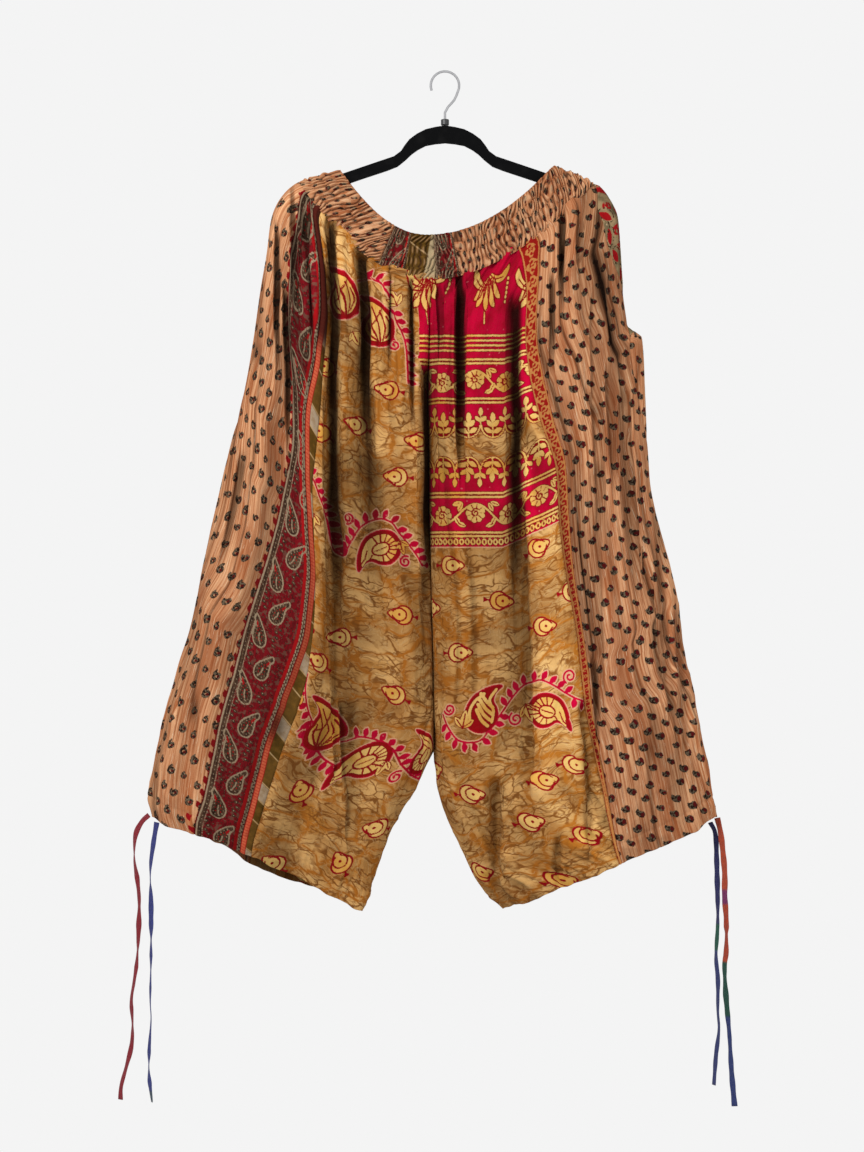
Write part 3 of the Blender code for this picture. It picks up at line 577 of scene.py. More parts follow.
def leg_point(is_left, across, down, pleated=True):
    """Points of one leg with or without its folds, and how dark the creases are there."""
    rows = LEFT_SECTIONS if is_left else RIGHT_SECTIONS
    share, front = np.abs(across), across >= 0
    outer_x, inner_x = column(rows, "outer_x", down), inner_end(rows, "inner_x", down)
    outer_z, inner_z = column(rows, "outer_z", down), inner_end(rows, "inner_z", down)
    sag = np.where(front, column(rows, "front_sag", down), column(rows, "back_sag", down))
    x = outer_x + share * (inner_x - outer_x)
    if not is_left:
        x = x + column(HIP_FLARE, "reach", down) * np.clip(1 - share / FLARE_SHARE, 0, 1) ** 2
    z = outer_z + share * (inner_z - outer_z) - sag * 4 * share * (1 - share)
    width = np.abs(inner_x - outer_x)
    seam = np.where(down > CROTCH + 0.004, 0.0, column(DEPTHS, "seam_share", down))
    depth = np.where(front, column(DEPTHS, "front", down), column(DEPTHS, "back", down))
    depth *= rounded(share * width, column(DEPTHS, "outer_reach", down))
    depth *= seam + (1 - seam) * rounded((1 - share) * width, column(DEPTHS, "seam_reach", down))
    dark = np.zeros_like(x)
    if pleated:
        depth *= 1 - np.where(front, fold_share(FRONT, x, down), fold_share(BACK, x, down))
        sway = SWAY * soft_noise(x, down, 0.05, 0.06, 5)
        taken, dark = crease_share(FRONT, x, down, sway)
        taken_back, dark_back = crease_share(BACK, x, down, sway)
        depth *= 1 - np.where(front, taken, taken_back)
        dark = np.where(front, dark, dark_back)
    return np.stack([x, np.where(front, -depth, depth), z], axis=-1), dark


print("a place on the left leg:", leg_point(True, np.full((1, 1), 0.5), np.full((1, 1), 0.1))[0])

# %% Even rows of places
FINE_STEPS = 500
Span = collections.namedtuple("Span", "is_left first last")


def walked(points):
    """How far each place of a row is along it."""
    steps = np.linalg.norm(np.diff(points, axis=1), axis=2)
    return np.concatenate([np.zeros((len(points), 1)), np.cumsum(steps, axis=1)], axis=1)


def even_grid(spans, down, spacing):
    """Rows of evenly spaced places over the spans.

    Gives points, shade, place along the row, row length, and place along the row without its pleats."""
    ease = 0.5 - 0.5 * np.cos(np.linspace(0, np.pi, FINE_STEPS))
    parts, plain_parts = [], []
    for span in spans:
        first, last = span.first(down)[:, None], span.last(down)[:, None]
        across = first + (last - first) * ease
        level = np.repeat(down[:, None], len(ease), 1)
        points, shade = leg_point(span.is_left, across, level)
        parts.append(np.concatenate([points, shade[..., None]], axis=-1))
        plain_parts.append(leg_point(span.is_left, across, level, pleated=False)[0])
    fine, plain = np.concatenate(parts, axis=1), np.concatenate(plain_parts, axis=1)
    fine = np.concatenate([fine, walked(plain)[..., None]], axis=-1)
    along = walked(fine[..., :3])
    length = along[:, -1:]
    count = int(np.ceil(length.max() / spacing)) + 1
    wanted = length * np.linspace(0, 1, count)
    grid = np.empty((len(down), count, fine.shape[-1]))
    for r in range(len(down)):
        for k in range(fine.shape[-1]):
            grid[r, :, k] = np.interp(wanted[r], along[r], fine[r, :, k])
    return grid[..., :3], grid[..., 3], wanted, np.repeat(length, count, 1), grid[..., 4]


print("places tried along each row:", FINE_STEPS)

# %% Mesh on a grid


def slopes_out(points):
    """Directions out of a grid of points, as long as its cells are large."""
    return np.cross(np.gradient(points, axis=0), np.gradient(points, axis=1))


def outward(points, is_front):
    """Unit directions out of the cloth, from the slopes of the grid."""
    out = slopes_out(points)
    out /= np.maximum(np.linalg.norm(out, axis=-1, keepdims=True), 1e-12)
    faces_front = out[..., 1].mean() < 0
    return out if faces_front == is_front else -out


def grid_mesh(name, points, uv, is_front, finish):
    """A mesh of four-cornered faces on a grid of points, facing out, with its map of the cloth."""
    rows, count = points.shape[:2]
    mesh = bpy.data.meshes.new(name)
    mesh.vertices.add(rows * count)
    mesh.vertices.foreach_set("co", points.astype(np.float32).ravel())
    index = np.arange(rows * count, dtype=np.int32).reshape(rows, count)
    corners = [index[:-1, :-1], index[1:, :-1], index[1:, 1:], index[:-1, 1:]]
    if (slopes_out(points)[..., 1].mean() < 0) != is_front:
        corners.reverse()
    loops = np.stack(corners, axis=-1).reshape(-1)
    mesh.loops.add(len(loops))
    mesh.polygons.add(len(loops) // 4)
    mesh.loops.foreach_set("vertex_index", loops)
    mesh.polygons.foreach_set("loop_start", np.arange(0, len(loops), 4, dtype=np.int32))
    mesh.update(calc_edges=True)
    mesh.validate()
    layer = mesh.uv_layers.new(name="cloth")
    layer.data.foreach_set("uv", uv.reshape(-1, 2)[loops].astype(np.float32).ravel())
    return mesh_object(name, mesh, finish)


# %% [markdown]
# ## Prints as layers of ink
#
# These cloths are block printed and waxed by hand, so every print here is a stack of inks. For each
# ink a sheet carries one number per point: how many millimetres the place lies inside the printed
# shape, negative outside. The material cuts at zero, with a little noise, so that edges stay smooth
# and slightly uneven, as hand printing is. The shapes are drawn from a few points each, in
# millimetres, and stamped along the cloth, so a motif runs into a pleat and out again.

# %% Shapes and stamps
NO_INK = -8.0
Shape = collections.namedtuple("Shape", "ink points half_width")


def fill(ink, points):
    return Shape(ink, points, None)


def stroke(ink, points, half_width=1.1):
    return Shape(ink, points, half_width)


def outline(ink, points, half_width):
    """A stroke that comes back to its start."""
    return stroke(ink, points + points[:1], half_width)


def ring(x, y, wide, high, start=0, stop=360, count=20):
    """Points of an oval, or of a part of one when start and stop are given in degrees."""
    turns = np.radians(np.linspace(start, stop, count))
    return [(x + wide * math.cos(t), y + high * math.sin(t)) for t in turns]


def leaf(x, y, angle, length, width):
    """A pointed leaf that starts at x, y and points along the angle, in degrees."""
    c, s = math.cos(math.radians(angle)), math.sin(math.radians(angle))
    side = [(0, 0), (0.25, 0.36), (0.5, 0.5), (0.78, 0.32), (1, 0)]
    side += [(a, -b) for a, b in side[3:0:-1]]
    return [(x + c * a * length - s * b * width, y + s * a * length + c * b * width) for a, b in side]


def gold_leaf(*numbers):
    return fill("gold", leaf(*numbers))


def curl(x, y, reach, start, turns=1.4, count=26):
    """A spiral that starts at its rim and winds in."""
    points = []
    for i in range(count):
        t = i / (count - 1)
        angle, away = math.radians(start + 360 * turns * t), reach * (1 - 0.78 * t)
        points.append((x + away * math.cos(angle), y + away * math.sin(angle)))
    return points


def smooth_line(points, closed=False, count=6):
    """A smooth line through the given points."""
    if closed:
        knots = [points[-1], *points, points[0], points[1]]
    else:
        knots = [points[0], *points, points[-1]]
    found = [tuple(between(*four, i / count) for four in zip(*ends))
             for ends in zip(knots, knots[1:], knots[2:], knots[3:]) for i in range(count)]
    return found if closed else found + [tuple(points[-1])]


def depth_inside(p, q, shape):
    """How far each place lies inside a shape, negative outside."""
    points = shape.points
    ends = points[1:] + points[:1] if shape.half_width is None else points[1:]
    nearest, inside = np.full(p.shape, 1e9), np.zeros(p.shape, bool)
    for (x0, y0), (x1, y1) in zip(points, ends):
        run, rise = x1 - x0, y1 - y0
        t = np.clip(((p - x0) * run + (q - y0) * rise) / (run * run + rise * rise + 1e-12), 0, 1)
        nearest = np.minimum(nearest, np.hypot(p - x0 - t * run, q - y0 - t * rise))
        if shape.half_width is None and y0 != y1:
            inside ^= ((y0 > q) != (y1 > q)) & (p < x0 + (q - y0) * run / rise)
    if shape.half_width is None:
        return np.where(inside, nearest, -nearest)
    return shape.half_width - nearest


def stamp(inks, u, v, shapes, place, angle=0.0, size=1.0, flip=1):
    """Adds a motif to the inks. Places are millimetres on the cloth; motifs are drawn with y up it."""
    reach = 4 + size * max(math.hypot(x, y) for shape in shapes for x, y in shape.points)
    near = np.nonzero((np.abs(u - place[0]) < reach) & (np.abs(v - place[1]) < reach))
    if not len(near[0]):
        return
    across, up = u[near] - place[0], place[1] - v[near]
    c, s = math.cos(math.radians(angle)), math.sin(math.radians(angle))
    p, q = flip * (across * c + up * s) / size, (up * c - across * s) / size
    for shape in shapes:
        found = inks[shape.ink]
        found[near] = np.maximum(found[near], depth_inside(p, q, shape) * size)


def blank_inks(u, *names):
    return {name: np.full(u.shape, NO_INK) for name in names}


def add_ink(inks, name, depth):
    inks[name] = np.maximum(inks[name], depth)


print("a leaf has", len(leaf(0, 0, 0, 1, 1)), "points")

# %% [markdown]
# ## Motifs of the gold batik
#
# The batik carries lotus buds, vines with curled ends and small leaves, large curved mango leaves,
# and in its end piece rows of flowers and leaf arches. They are common in printed saris. Each is
# built below from leaves, rings and curls, in my own drawing.

# %% Buds and mango leaves
PETAL = smooth_line([(0, 20), (-6.5, 12), (-8.2, 3), (-5, -3.5), (0, -5), (5, -3.5), (8.2, 3), (6.5, 12)],
                    closed=True)
BUD = [
    fill("gold", ring(0, -1, 12.4, 12.0)), fill("gold", PETAL),
    stroke("line", ring(0, -1, 12.4, 12.0, 124, 416), 1.15), outline("line", PETAL, 1.1),
    stroke("line", [(-7, 9.5), (-2.5, 13.5)], 0.95), stroke("line", [(7, 9.5), (2.5, 13.5)], 0.95),
    fill("line", ring(0, 4.5, 2.0, 2.2, count=9)), stroke("line", [(0, -13), (0, -19)], 1.1),
    fill("line", [(-4.0, -22.0), (4.0, -22.0), (1.0, -16.5), (-1.0, -16.5)]),
]
MANGO_EDGE = smooth_line([(0, -31), (15, -26), (22, -10), (19, 8), (9, 21), (-4, 30), (-15, 33), (-9, 23),
                          (-9, 12), (-17, 3), (-21, -10), (-14, -25)], closed=True)
MANGO_HEART = [fill("gold", [(0.80 * x, 0.82 * y - 0.6) for x, y in MANGO_EDGE])]


def mango_leaf(inside, edge=1.3):
    """A curved leaf in a red edge."""
    return [fill("red", MANGO_EDGE), outline("crimson", MANGO_EDGE, edge), *inside]


def petals():
    """Petals round an oval heart."""
    shapes = []
    for degrees in range(-190, 30, 22):
        c, s = math.cos(math.radians(degrees)), math.sin(math.radians(degrees))
        shapes.append(stroke("line", [(8.5 * c, 12 * s - 5), (18 * c, 27 * s - 5)], 1.0))
    return shapes + [
        stroke("line", ring(0, -5, 7.6, 11.5), 1.1), stroke("line", [(0, -13), (0, 3)], 0.9),
        stroke("line", [(4, 12), (-4, 19), (-9, 28)], 1.0), stroke("line", [(-3, 8), (-8, 14)], 1.0),
    ]


def smooth_strokes(ink, half_width, *lines):
    return [stroke(ink, smooth_line(line), half_width) for line in lines]


MANGO = mango_leaf(MANGO_HEART + petals())
MANGO_VEINED = mango_leaf(MANGO_HEART + smooth_strokes(
    "line", 1.05, [(-3, -25), (-12, -12), (-13, 0)], [(-1, -26), (-6, -8), (-7, 12)],
    [(1, -26), (2, -6), (-3, 18)], [(4, -25), (10, -8), (6, 12)], [(8, -22), (16, -9), (13, 5)],
    [(-14, -8), (-4, -3), (9, 14)],
))
STRIPES = [[(-11, 8 * k - 20), (-1, 8 * k - 15), (9, 7 * k - 4)] for k in range(4)]
MANGO_STRIPED = mango_leaf(smooth_strokes("gold", 2.2, *STRIPES) + smooth_strokes(
    "gold", 1.8, [(12, -22), (17, -8), (14, 6), (5, 18)], [(-15, -14), (-13, 0), (-4, 12), (-9, 27)],
), 1.2)
print("bud shapes:", len(BUD), "mango leaf shapes:", len(MANGO))

# %% Sprigs, arches and flowers
SPRIG = [
    gold_leaf(0, 0, 90, 21, 8), gold_leaf(0, 1, 135, 15, 6.5), gold_leaf(0, 1, 45, 15, 6.5),
    stroke("line", [(0, 2), (0, 16)], 0.8), stroke("line", [(0, 1), (-8, 9)], 0.7),
    stroke("line", [(0, 1), (8, 9)], 0.7),
]
TREFOIL = [
    stroke("gold", [(0, -1), (0, 22)], 0.9), gold_leaf(0, 17, 90, 15, 8.0),
    gold_leaf(-0.8, 3.5, 148, 13.5, 7.0), gold_leaf(0.8, 3.5, 32, 13.5, 7.0),
    gold_leaf(-0.8, 11.5, 128, 12.5, 6.6), gold_leaf(0.8, 11.5, 52, 12.5, 6.6),
    stroke("gold", ring(0, 13, 15.4, 15.4, 180, 360), 0.95),
]
CUSP = [
    stroke("gold", [(0, 1), (0, 12)], 0.8), gold_leaf(0, 12, 90, 12, 6.0),
    gold_leaf(-0.8, 6, 132, 9.5, 5.2), gold_leaf(0.8, 6, 48, 9.5, 5.2),
]


def rosette():
    """A flower of nine round petals with a curl in its heart."""
    shapes = [fill("gold", ring(8.2 * math.cos(t), 8.2 * math.sin(t), 4.1, 4.1, count=10))
              for t in np.radians(np.arange(0, 360, 40))]
    shapes.append(fill("gold", ring(0, 0, 7.6, 7.6)))
    for t in np.radians(np.arange(20, 380, 40)):
        c, s = math.cos(t), math.sin(t)
        shapes.append(stroke("line", [(5.6 * c, 5.6 * s), (11 * c, 11 * s)], 0.7))
    return [*shapes, stroke("line", curl(0, 0, 5.4, 40, 1.3), 0.95)]


ROSETTE = rosette()
print("flower shapes:", len(ROSETTE))

# %% Plume and vines


def blade(points, wide):
    """A curved leaf along a line through the points, pointed at its far end."""
    line = smooth_line(points)
    last = len(line) - 1
    left, right = [], []
    for i, (x, y) in enumerate(line):
        (x0, y0), (x1, y1) = line[max(i - 1, 0)], line[min(i + 1, last)]
        run, rise, t = x1 - x0, y1 - y0, i / last
        swell = 0.30 + 0.70 * math.sin(math.pi * min(1.0, 0.12 + 0.70 * t))
        half = wide / 2 * swell * min(1.0, 5 * (1 - t))
        reach = math.hypot(run, rise)
        left.append((x - rise / reach * half, y + run / reach * half))
        right.append((x + rise / reach * half, y - run / reach * half))
    return left + right[::-1]


def edged_blade(points, wide, more):
    """A gold blade with a dark line round it, a little outside its edge."""
    return [fill("gold", blade(points, wide)), stroke("line", blade(points, wide + more), 0.95)]


PLUME = []
for fan in ([(-3, 17), (-9, 1), (-12, -9), (-18, -15)], [(-2, 16), (-5, -3), (-8, -16), (-12, -24)],
            [(1, 17), (1, -8), (3, -30)], [(4, 16), (7, -4), (11, -17), (16, -24)],
            [(5, 17), (12, 3), (17, -6), (23, -12)]):
    PLUME += edged_blade(fan, 8.0, 0.4)
for horn in ([(-2, 3), (-12, 6), (-21, 15), (-25, 32)], [(-1, 21), (10, 15), (21, 19), (26, 38)]):
    PLUME += edged_blade(horn, 11.0, 0.6) + smooth_strokes("line", 0.9, horn[:3])
PLUME += [stroke("gold", [(2, -28), (4, -46)], 0.9)]
PLUME += [fill("gold", ring(31, 6.4 * k - 16, 2.0, 2.6, count=8)) for k in range(6)]


def vine(inks, u, v, side, spacing, size, points):
    """A crimson stem through these places, in millimetres on the cloth, with small leaves along it.

    The leaves stand on the left of the way it runs or on the right."""
    line = smooth_line([(x, -y) for x, y in points], count=8)
    stamp(inks, u, v, [stroke("crimson", line, 1.25)], (0, 0))
    walked_on, way = 0.0, 1 if side == "left" else -1
    for (x0, y0), (x1, y1) in zip(line, line[1:]):
        walked_on += math.hypot(x1 - x0, y1 - y0)
        if walked_on < spacing:
            continue
        walked_on -= spacing
        heading = math.degrees(math.atan2(y1 - y0, x1 - x0))
        shape = fill("crimson", leaf(x1, y1, heading + way * 62, 12.5 * size, 7.2 * size))
        stamp(inks, u, v, [shape], (0, 0))


print("plume shapes:", len(PLUME))

# %% [markdown]
# ## Layout of the batik
#
# Across is counted in millimetres from the centre seam over the smooth form, with the right leg
# positive, so that the pleats don't pull the print out of shape. Drop is counted in millimetres
# straight down from where the hanger's hook rests, because the printed rows hang level. Each leg has
# single buds scattered in rough rows, a vine with mango leaves across the thigh and another at the
# knee, and the right leg also has the sari's crimson end piece, from the waistband down: a plume,
# four lines, a flower band, leaf arches that mirror each other across a strip of plain batik, a
# second flower band and a row of rings.

# %% Places of the motifs
Layout = collections.namedtuple("Layout", "buds motifs curls vines")
LEFT_LAYOUT = Layout(
    buds=[(-114, 478, 70), (-68, 431, 80), (-60, 547, 85), (-61, 731, 80), (-146, 761, 90),
          (-179, 794, 55), (-76, 837, 62), (-158, 967, 35), (-43, 1015, 85), (-70, 1062, 40),
          (-151, 1064, 60), (-162, 400, 70), (-170, 488, 60), (-30, 500, 80), (-112, 1100, 50),
          (-206, 745, 70)],
    motifs=[(MANGO_VEINED, -134, 300, 6, 1.15), (MANGO_VEINED, -82, 338, 4, 1.1),
            (MANGO_VEINED, -176, 876, 0, 1.12), (MANGO, -91, 645, 112, 1.06),
            (MANGO, -114, 929, 122, 1.1), (MANGO, -34, 914, 4, 0.95), (SPRIG, -48, 318, 20, 1.2),
            (SPRIG, -120, 352, 200, 1.0), (SPRIG, -61, 631, 196, 1.0), (SPRIG, -182, 596, 170, 1.2),
            (SPRIG, -84, 924, 172, 1.0), (SPRIG, -214, 852, 30, 1.2)],
    curls=[(-58, 370, 8, 90, 1), (-129, 602, 8, 250, 1), (-54, 660, 8, 60, 1), (-201, 888, 8.5, 20, -1),
           (-62, 946, 8.5, 70, 1)],
    vines=[("left", 13, 1.15, [(-106, 284), (-92, 280), (-76, 284), (-64, 296), (-58, 318), (-52, 340),
                               (-46, 356), (-43, 374), (-42, 421)]),
           ("left", 12, 1.2, [(-200, 536), (-183, 550), (-171, 576), (-159, 603), (-154, 638),
                              (-141, 652), (-127, 634), (-112, 614), (-90, 603), (-71, 607), (-60, 622),
                              (-44, 643), (-30, 665)]),
           ("right", 12, 1.2, [(-199, 809), (-204, 833), (-201, 863), (-188, 893), (-166, 917),
                               (-145, 929), (-128, 935)]),
           ("left", 12, 1.2, [(-150, 901), (-132, 893), (-104, 898), (-83, 911), (-63, 930), (-40, 944),
                              (-12, 954)])],
)
RIGHT_STEM = [(36, 863), (47, 883), (59, 896), (74, 900), (91, 897), (103, 882), (116, 864),
              (129, 844), (143, 827), (157, 820), (171, 817), (189, 824), (207, 834), (225, 842),
              (240, 846)]
RIGHT_LAYOUT = Layout(
    buds=[(46, 665, -90), (56, 781, -88), (113, 712, -95), (172, 746, -82), (167, 642, -60),
          (67, 969, -88), (124, 1006, -80), (210, 929, -90), (181, 1024, -75), (27, 1075, -85),
          (9, 722, -90), (8, 940, -80), (165, 950, -80), (108, 1085, -80), (215, 700, -80)],
    motifs=[(MANGO_STRIPED, 93, 855, -14, 1.05, -1), (MANGO, 187, 860, -104, 1.05, -1),
            (SPRIG, 65, 882, -8, 1.25), (SPRIG, 150, 849, 205, 1.25)],
    curls=[(46, 856, 8, 200, 1), (212, 812, 10, 300, -1), (138, 869, 9.5, 130, 1)],
    vines=[("right", 12.5, 1.2, RIGHT_STEM[:7]), ("left", 12.5, 1.2, RIGHT_STEM[6:13]),
           ("right", 12.5, 1.2, RIGHT_STEM[12:])],
)
print("buds:", len(LEFT_LAYOUT.buds), "left,", len(RIGHT_LAYOUT.buds), "right")

# %% Laying out the batik
ARCH_FIRST, ARCH_STEP, ARCH_RADIUS = 4.0, 33.2, 15.5
UPPER_ARCHES, LOWER_ARCHES, BLOCK_END = 479, 536, 640.0
GOLD_LINES = (358, 364.6, 371.2, 377.8, 390, 395.2, 442.5, 447.7, 568.5, 573.7, 621, 626)
LINE_HALF_WIDTH = 1.35
BAND_MIDDLES, BAND_HALF_HEIGHT, BAND_WAVE = (419, 597), 19, 14
RING_DROP, RING_STEP = 633.5, 7.6
PLUME_DROP, PLUME_PLACES = 296, (-12, 80, 150)


def lay_out(inks, x, drop, layout):
    """Stamps the buds, leaves, curls and vines of one leg."""
    for across, down, angle in layout.buds:
        stamp(inks, x, drop, BUD, (across, down), angle)
    for shapes, across, down, *turn in layout.motifs:
        stamp(inks, x, drop, shapes, (across, down), *turn)
    for across, down, reach, start, way in layout.curls:
        turned = [(way * px, py) for px, py in curl(0, 0, reach, start)]
        stamp(inks, x, drop, [stroke("crimson", turned, 1.35)], (across, down))
    for stem in layout.vines:
        vine(inks, x, drop, *stem)


def flower_band(inks, x, v, middle, first, step):
    """Flowers on a wavy gold vine that passes over one and under the next."""
    swing = np.pi * (x - first) / step + np.pi / 2
    wave, slope = middle + BAND_WAVE * np.sin(swing), BAND_WAVE * np.pi / step * np.cos(swing)
    stem = 1.25 - np.abs(v - wave) / np.sqrt(1 + slope**2)
    add_ink(inks, "gold", np.where(np.abs(v - middle) < BAND_HALF_HEIGHT, stem, NO_INK))
    leaf_shapes = [gold_leaf(0, -6, 90, 14, 6.5), stroke("line", [(0, -3), (0, 5)], 0.7)]
    for k in range(-2, 6):
        centre, side = first + k * step, 1 if k % 2 else -1
        stamp(inks, x, v, ROSETTE, (centre, middle - 2 * side), 20 * k, 1.08)
        for offset, up, lean in ((-24, 9, 30), (24, 9, -30), (-18, 14, 70), (19, 14, -70)):
            stamp(inks, x, v, leaf_shapes, (centre + offset, middle + side * up), lean)


def end_piece_inks(inks, x, drop):
    """The crimson end piece of the right leg. Its far side is drawn up by the waist."""
    v = drop + 0.42 * np.maximum(x - 118, 0)
    repeat = (x - ARCH_FIRST + ARCH_STEP / 2) % ARCH_STEP - ARCH_STEP / 2
    upper_round = ARCH_RADIUS - np.hypot(repeat, v - UPPER_ARCHES)
    lower_round = ARCH_RADIUS - np.hypot(repeat, v - LOWER_ARCHES)
    upper = np.maximum(UPPER_ARCHES - v, upper_round)
    lower = np.minimum(np.maximum(v - LOWER_ARCHES, lower_round), BLOCK_END - v)
    add_ink(inks, "crimson", np.minimum(np.maximum(upper, lower), 8))
    add_ink(inks, "red", np.where(v > UPPER_ARCHES, upper_round, NO_INK))
    add_ink(inks, "red", np.where(v < LOWER_ARCHES, lower_round, NO_INK))
    for place in GOLD_LINES:
        add_ink(inks, "gold", LINE_HALF_WIDTH - np.abs(v - place))
    flower_band(inks, x, v, BAND_MIDDLES[0], 35, 43)
    flower_band(inks, x, v, BAND_MIDDLES[1], 37, 45)
    for k in range(-2, 9):
        arch = ARCH_FIRST + ARCH_STEP * k
        for down, way, turn in ((UPPER_ARCHES, 1, 0), (LOWER_ARCHES, -1, 180)):
            stamp(inks, x, v, TREFOIL, (arch, down + 13 * way), turn)
            stamp(inks, x, v, CUSP, (arch + ARCH_STEP / 2, down + way), turn, 1.1)
    for k in range(-4, 34):
        oval = outline("gold", ring(0, 0, 2.4, 3.6, count=12), 1.0)
        stamp(inks, x, v, [oval], (2 + RING_STEP * k, RING_DROP))
    for across in PLUME_PLACES:
        stamp(inks, x, drop, PLUME, (across, PLUME_DROP))


def add_end_piece_corner(inks, x, drop):
    """The corner of the end piece that the left leg's batik has beside the centre seam."""
    edge = x - np.interp(drop, [300, 319, 388, 415, 442, 452], [-19, -20, -28, -22, -13, 3])
    inside = np.minimum(np.minimum(edge, drop - 312), 454 - drop)
    end_piece = blank_inks(x, "crimson", "gold", "line", "red")
    end_piece_inks(end_piece, x, drop)
    end_piece["crimson"] = np.minimum(end_piece["crimson"], inside)
    for name, depth in end_piece.items():
        inks[name] = np.where(inside > 0, depth, inks[name])
    stamp(inks, x, drop, PLUME, (PLUME_PLACES[0], PLUME_DROP))


def batik_inks(x, drop, leg):
    """All the batik's inks on the sheet of one leg."""
    inks = blank_inks(x, "crimson", "gold", "line", "red")
    lay_out(inks, x, drop, LEFT_LAYOUT if leg == "left" else RIGHT_LAYOUT)
    if leg == "left":
        add_end_piece_corner(inks, x, drop)
    else:
        end_piece_inks(inks, x, drop)
    return inks


print("gold lines across the end piece:", len(GOLD_LINES))

# %% [markdown]
# ## Dotted cloth, paisley border and ornate strip
#
# The side panels are a thin striped cotton with small dark comma spots, each with a maroon eye, in
# staggered rows. The border strip has paisley drops in two columns between red bands and rows of
# tiny dots, and along it the dotted cloth ends in a red lace of small leaves. The ornate strip is a
# chain of gold rings and leaves on red.

# %% Dotted print
SPOT = [
    fill("spot", smooth_line([(-6.6, 1.0), (-5.2, 3.8), (-2.6, 2.8), (0.2, 4.2), (3.0, 5.2), (5.8, 3.8),
                              (6.6, 0.0), (4.4, -4.0), (0.6, -5.0), (-3.6, -4.6), (-6.2, -2.2)],
                             closed=True)),
    fill("blob", ring(3.4, 0.8, 2.5, 3.3, count=12)),
]
SPOT_RING = [
    stroke("spot", ring(0, -1, 4.2, 3.2, 20, 340, 14), 1.9),
    *smooth_strokes("spot", 1.7, [(-4.1, 0.6), (-4.2, 3.6), (-1.8, 6.2)]),
    fill("blob", ring(1.6, -1.2, 2.3, 2.0, count=8)),
]
BAND_SPOT = [fill("spot", ring(0, 0, 2.5, 4.8, count=12)), fill("blob", ring(0.3, -2.4, 1.6, 2.0, count=8))]
SPOT_REPEATS = ((-9.6, 20.4), (17.6, 9.6))
LEFT_REPEATS = ((-10.6, 22.6), (19.6, 10.6))
BAND_REPEATS = ((6.2, 13.0), (12.5, 0.0))
LACE = [fill("lace", leaf(0, 0, 112, 13, 7.0)), fill("lace", leaf(0, 5, 60, 5, 3))]
LACE_STEP = 16.4
SPOT_SHIFT, SPOT_SIZES, SPOT_MARGIN = 2.4, (0.76, 1.10), 9


def dotted_inks(u, v, seed, lace_at=None, repeats=SPOT_REPEATS, shapes=SPOT, spread=42):
    """Spots on a slanting lattice over the sheet, and lace leaves along the seam at lace_at, if given."""
    inks = blank_inks(u, "spot", "blob", "lace")
    chance = np.random.default_rng(seed)
    steps = np.array(repeats).T
    left, right, top, foot = u.min(), u.max(), v.min(), v.max()
    counts = np.linalg.solve(steps, np.array([[left, right, left, right], [top, top, foot, foot]]))
    (low_i, low_j), (high_i, high_j) = counts.min(axis=1).astype(int) - 1, counts.max(axis=1).astype(int) + 2
    for i in range(low_i, high_i):
        for j in range(low_j, high_j):
            across, down = steps @ (i, j) + chance.uniform(-SPOT_SHIFT, SPOT_SHIFT, 2)
            turn, size = chance.uniform(-spread, spread), chance.uniform(*SPOT_SIZES)
            beside = max(left - across, across - right, top - down, down - foot)
            if beside < SPOT_MARGIN:
                stamp(inks, u, v, shapes, (across, down), turn, size)
    if lace_at is not None:
        for k in range(-1, 76):
            down = 5 + LACE_STEP * k
            row = np.abs(v[:, -1] - down).argmin()
            stamp(inks, u, v, LACE, (float(lace_at[row]), down))
        add_ink(inks, "lace", 1.2 - np.abs(u - lace_at[:, None]))
    return inks


print("spot shapes:", len(SPOT))

# %% Paisley, hip figures and chain
DROP_EDGE = smooth_line([(0, -20), (7.5, -16.5), (10, -8), (8, 2), (5.5, 10), (7, 18), (3.5, 22.5),
                         (-0.5, 17), (-4.5, 9), (-8.5, 0), (-9.5, -9), (-6.5, -17)], closed=True)
DROP = [fill("dark", DROP_EDGE), outline("grey", DROP_EDGE, 1.0),
        stroke("grey", [(0, -13), (0.8, -7), (0, -1)], 0.9), fill("red", leaf(2.5, 4, 86, 12, 3.0))]
DROP += [fill("grey", ring(0.66 * x, 0.70 * y - 1.4, 0.9, 1.1, count=7)) for x, y in DROP_EDGE[::5]]
DROP += [fill("red", ring(0.40 * x, 0.46 * y - 2.8, 1.1, 1.3, count=7)) for x, y in DROP_EDGE[2::7]]
COMMAS = [fill("dark", ring(1.6 * (-1) ** k, 7.0 * k + 3.4, 3.4, 2.4, count=8)) for k in range(5)]
COMMAS += [fill("grey", ring(1.6 * (-1) ** k, 7.0 * k + 3.6, 1.2, 1.0, count=7)) for k in range(5)]
DROP_STEP, HIP_STEP, CHAIN_STEP = 44.0, 30.0, 10.0


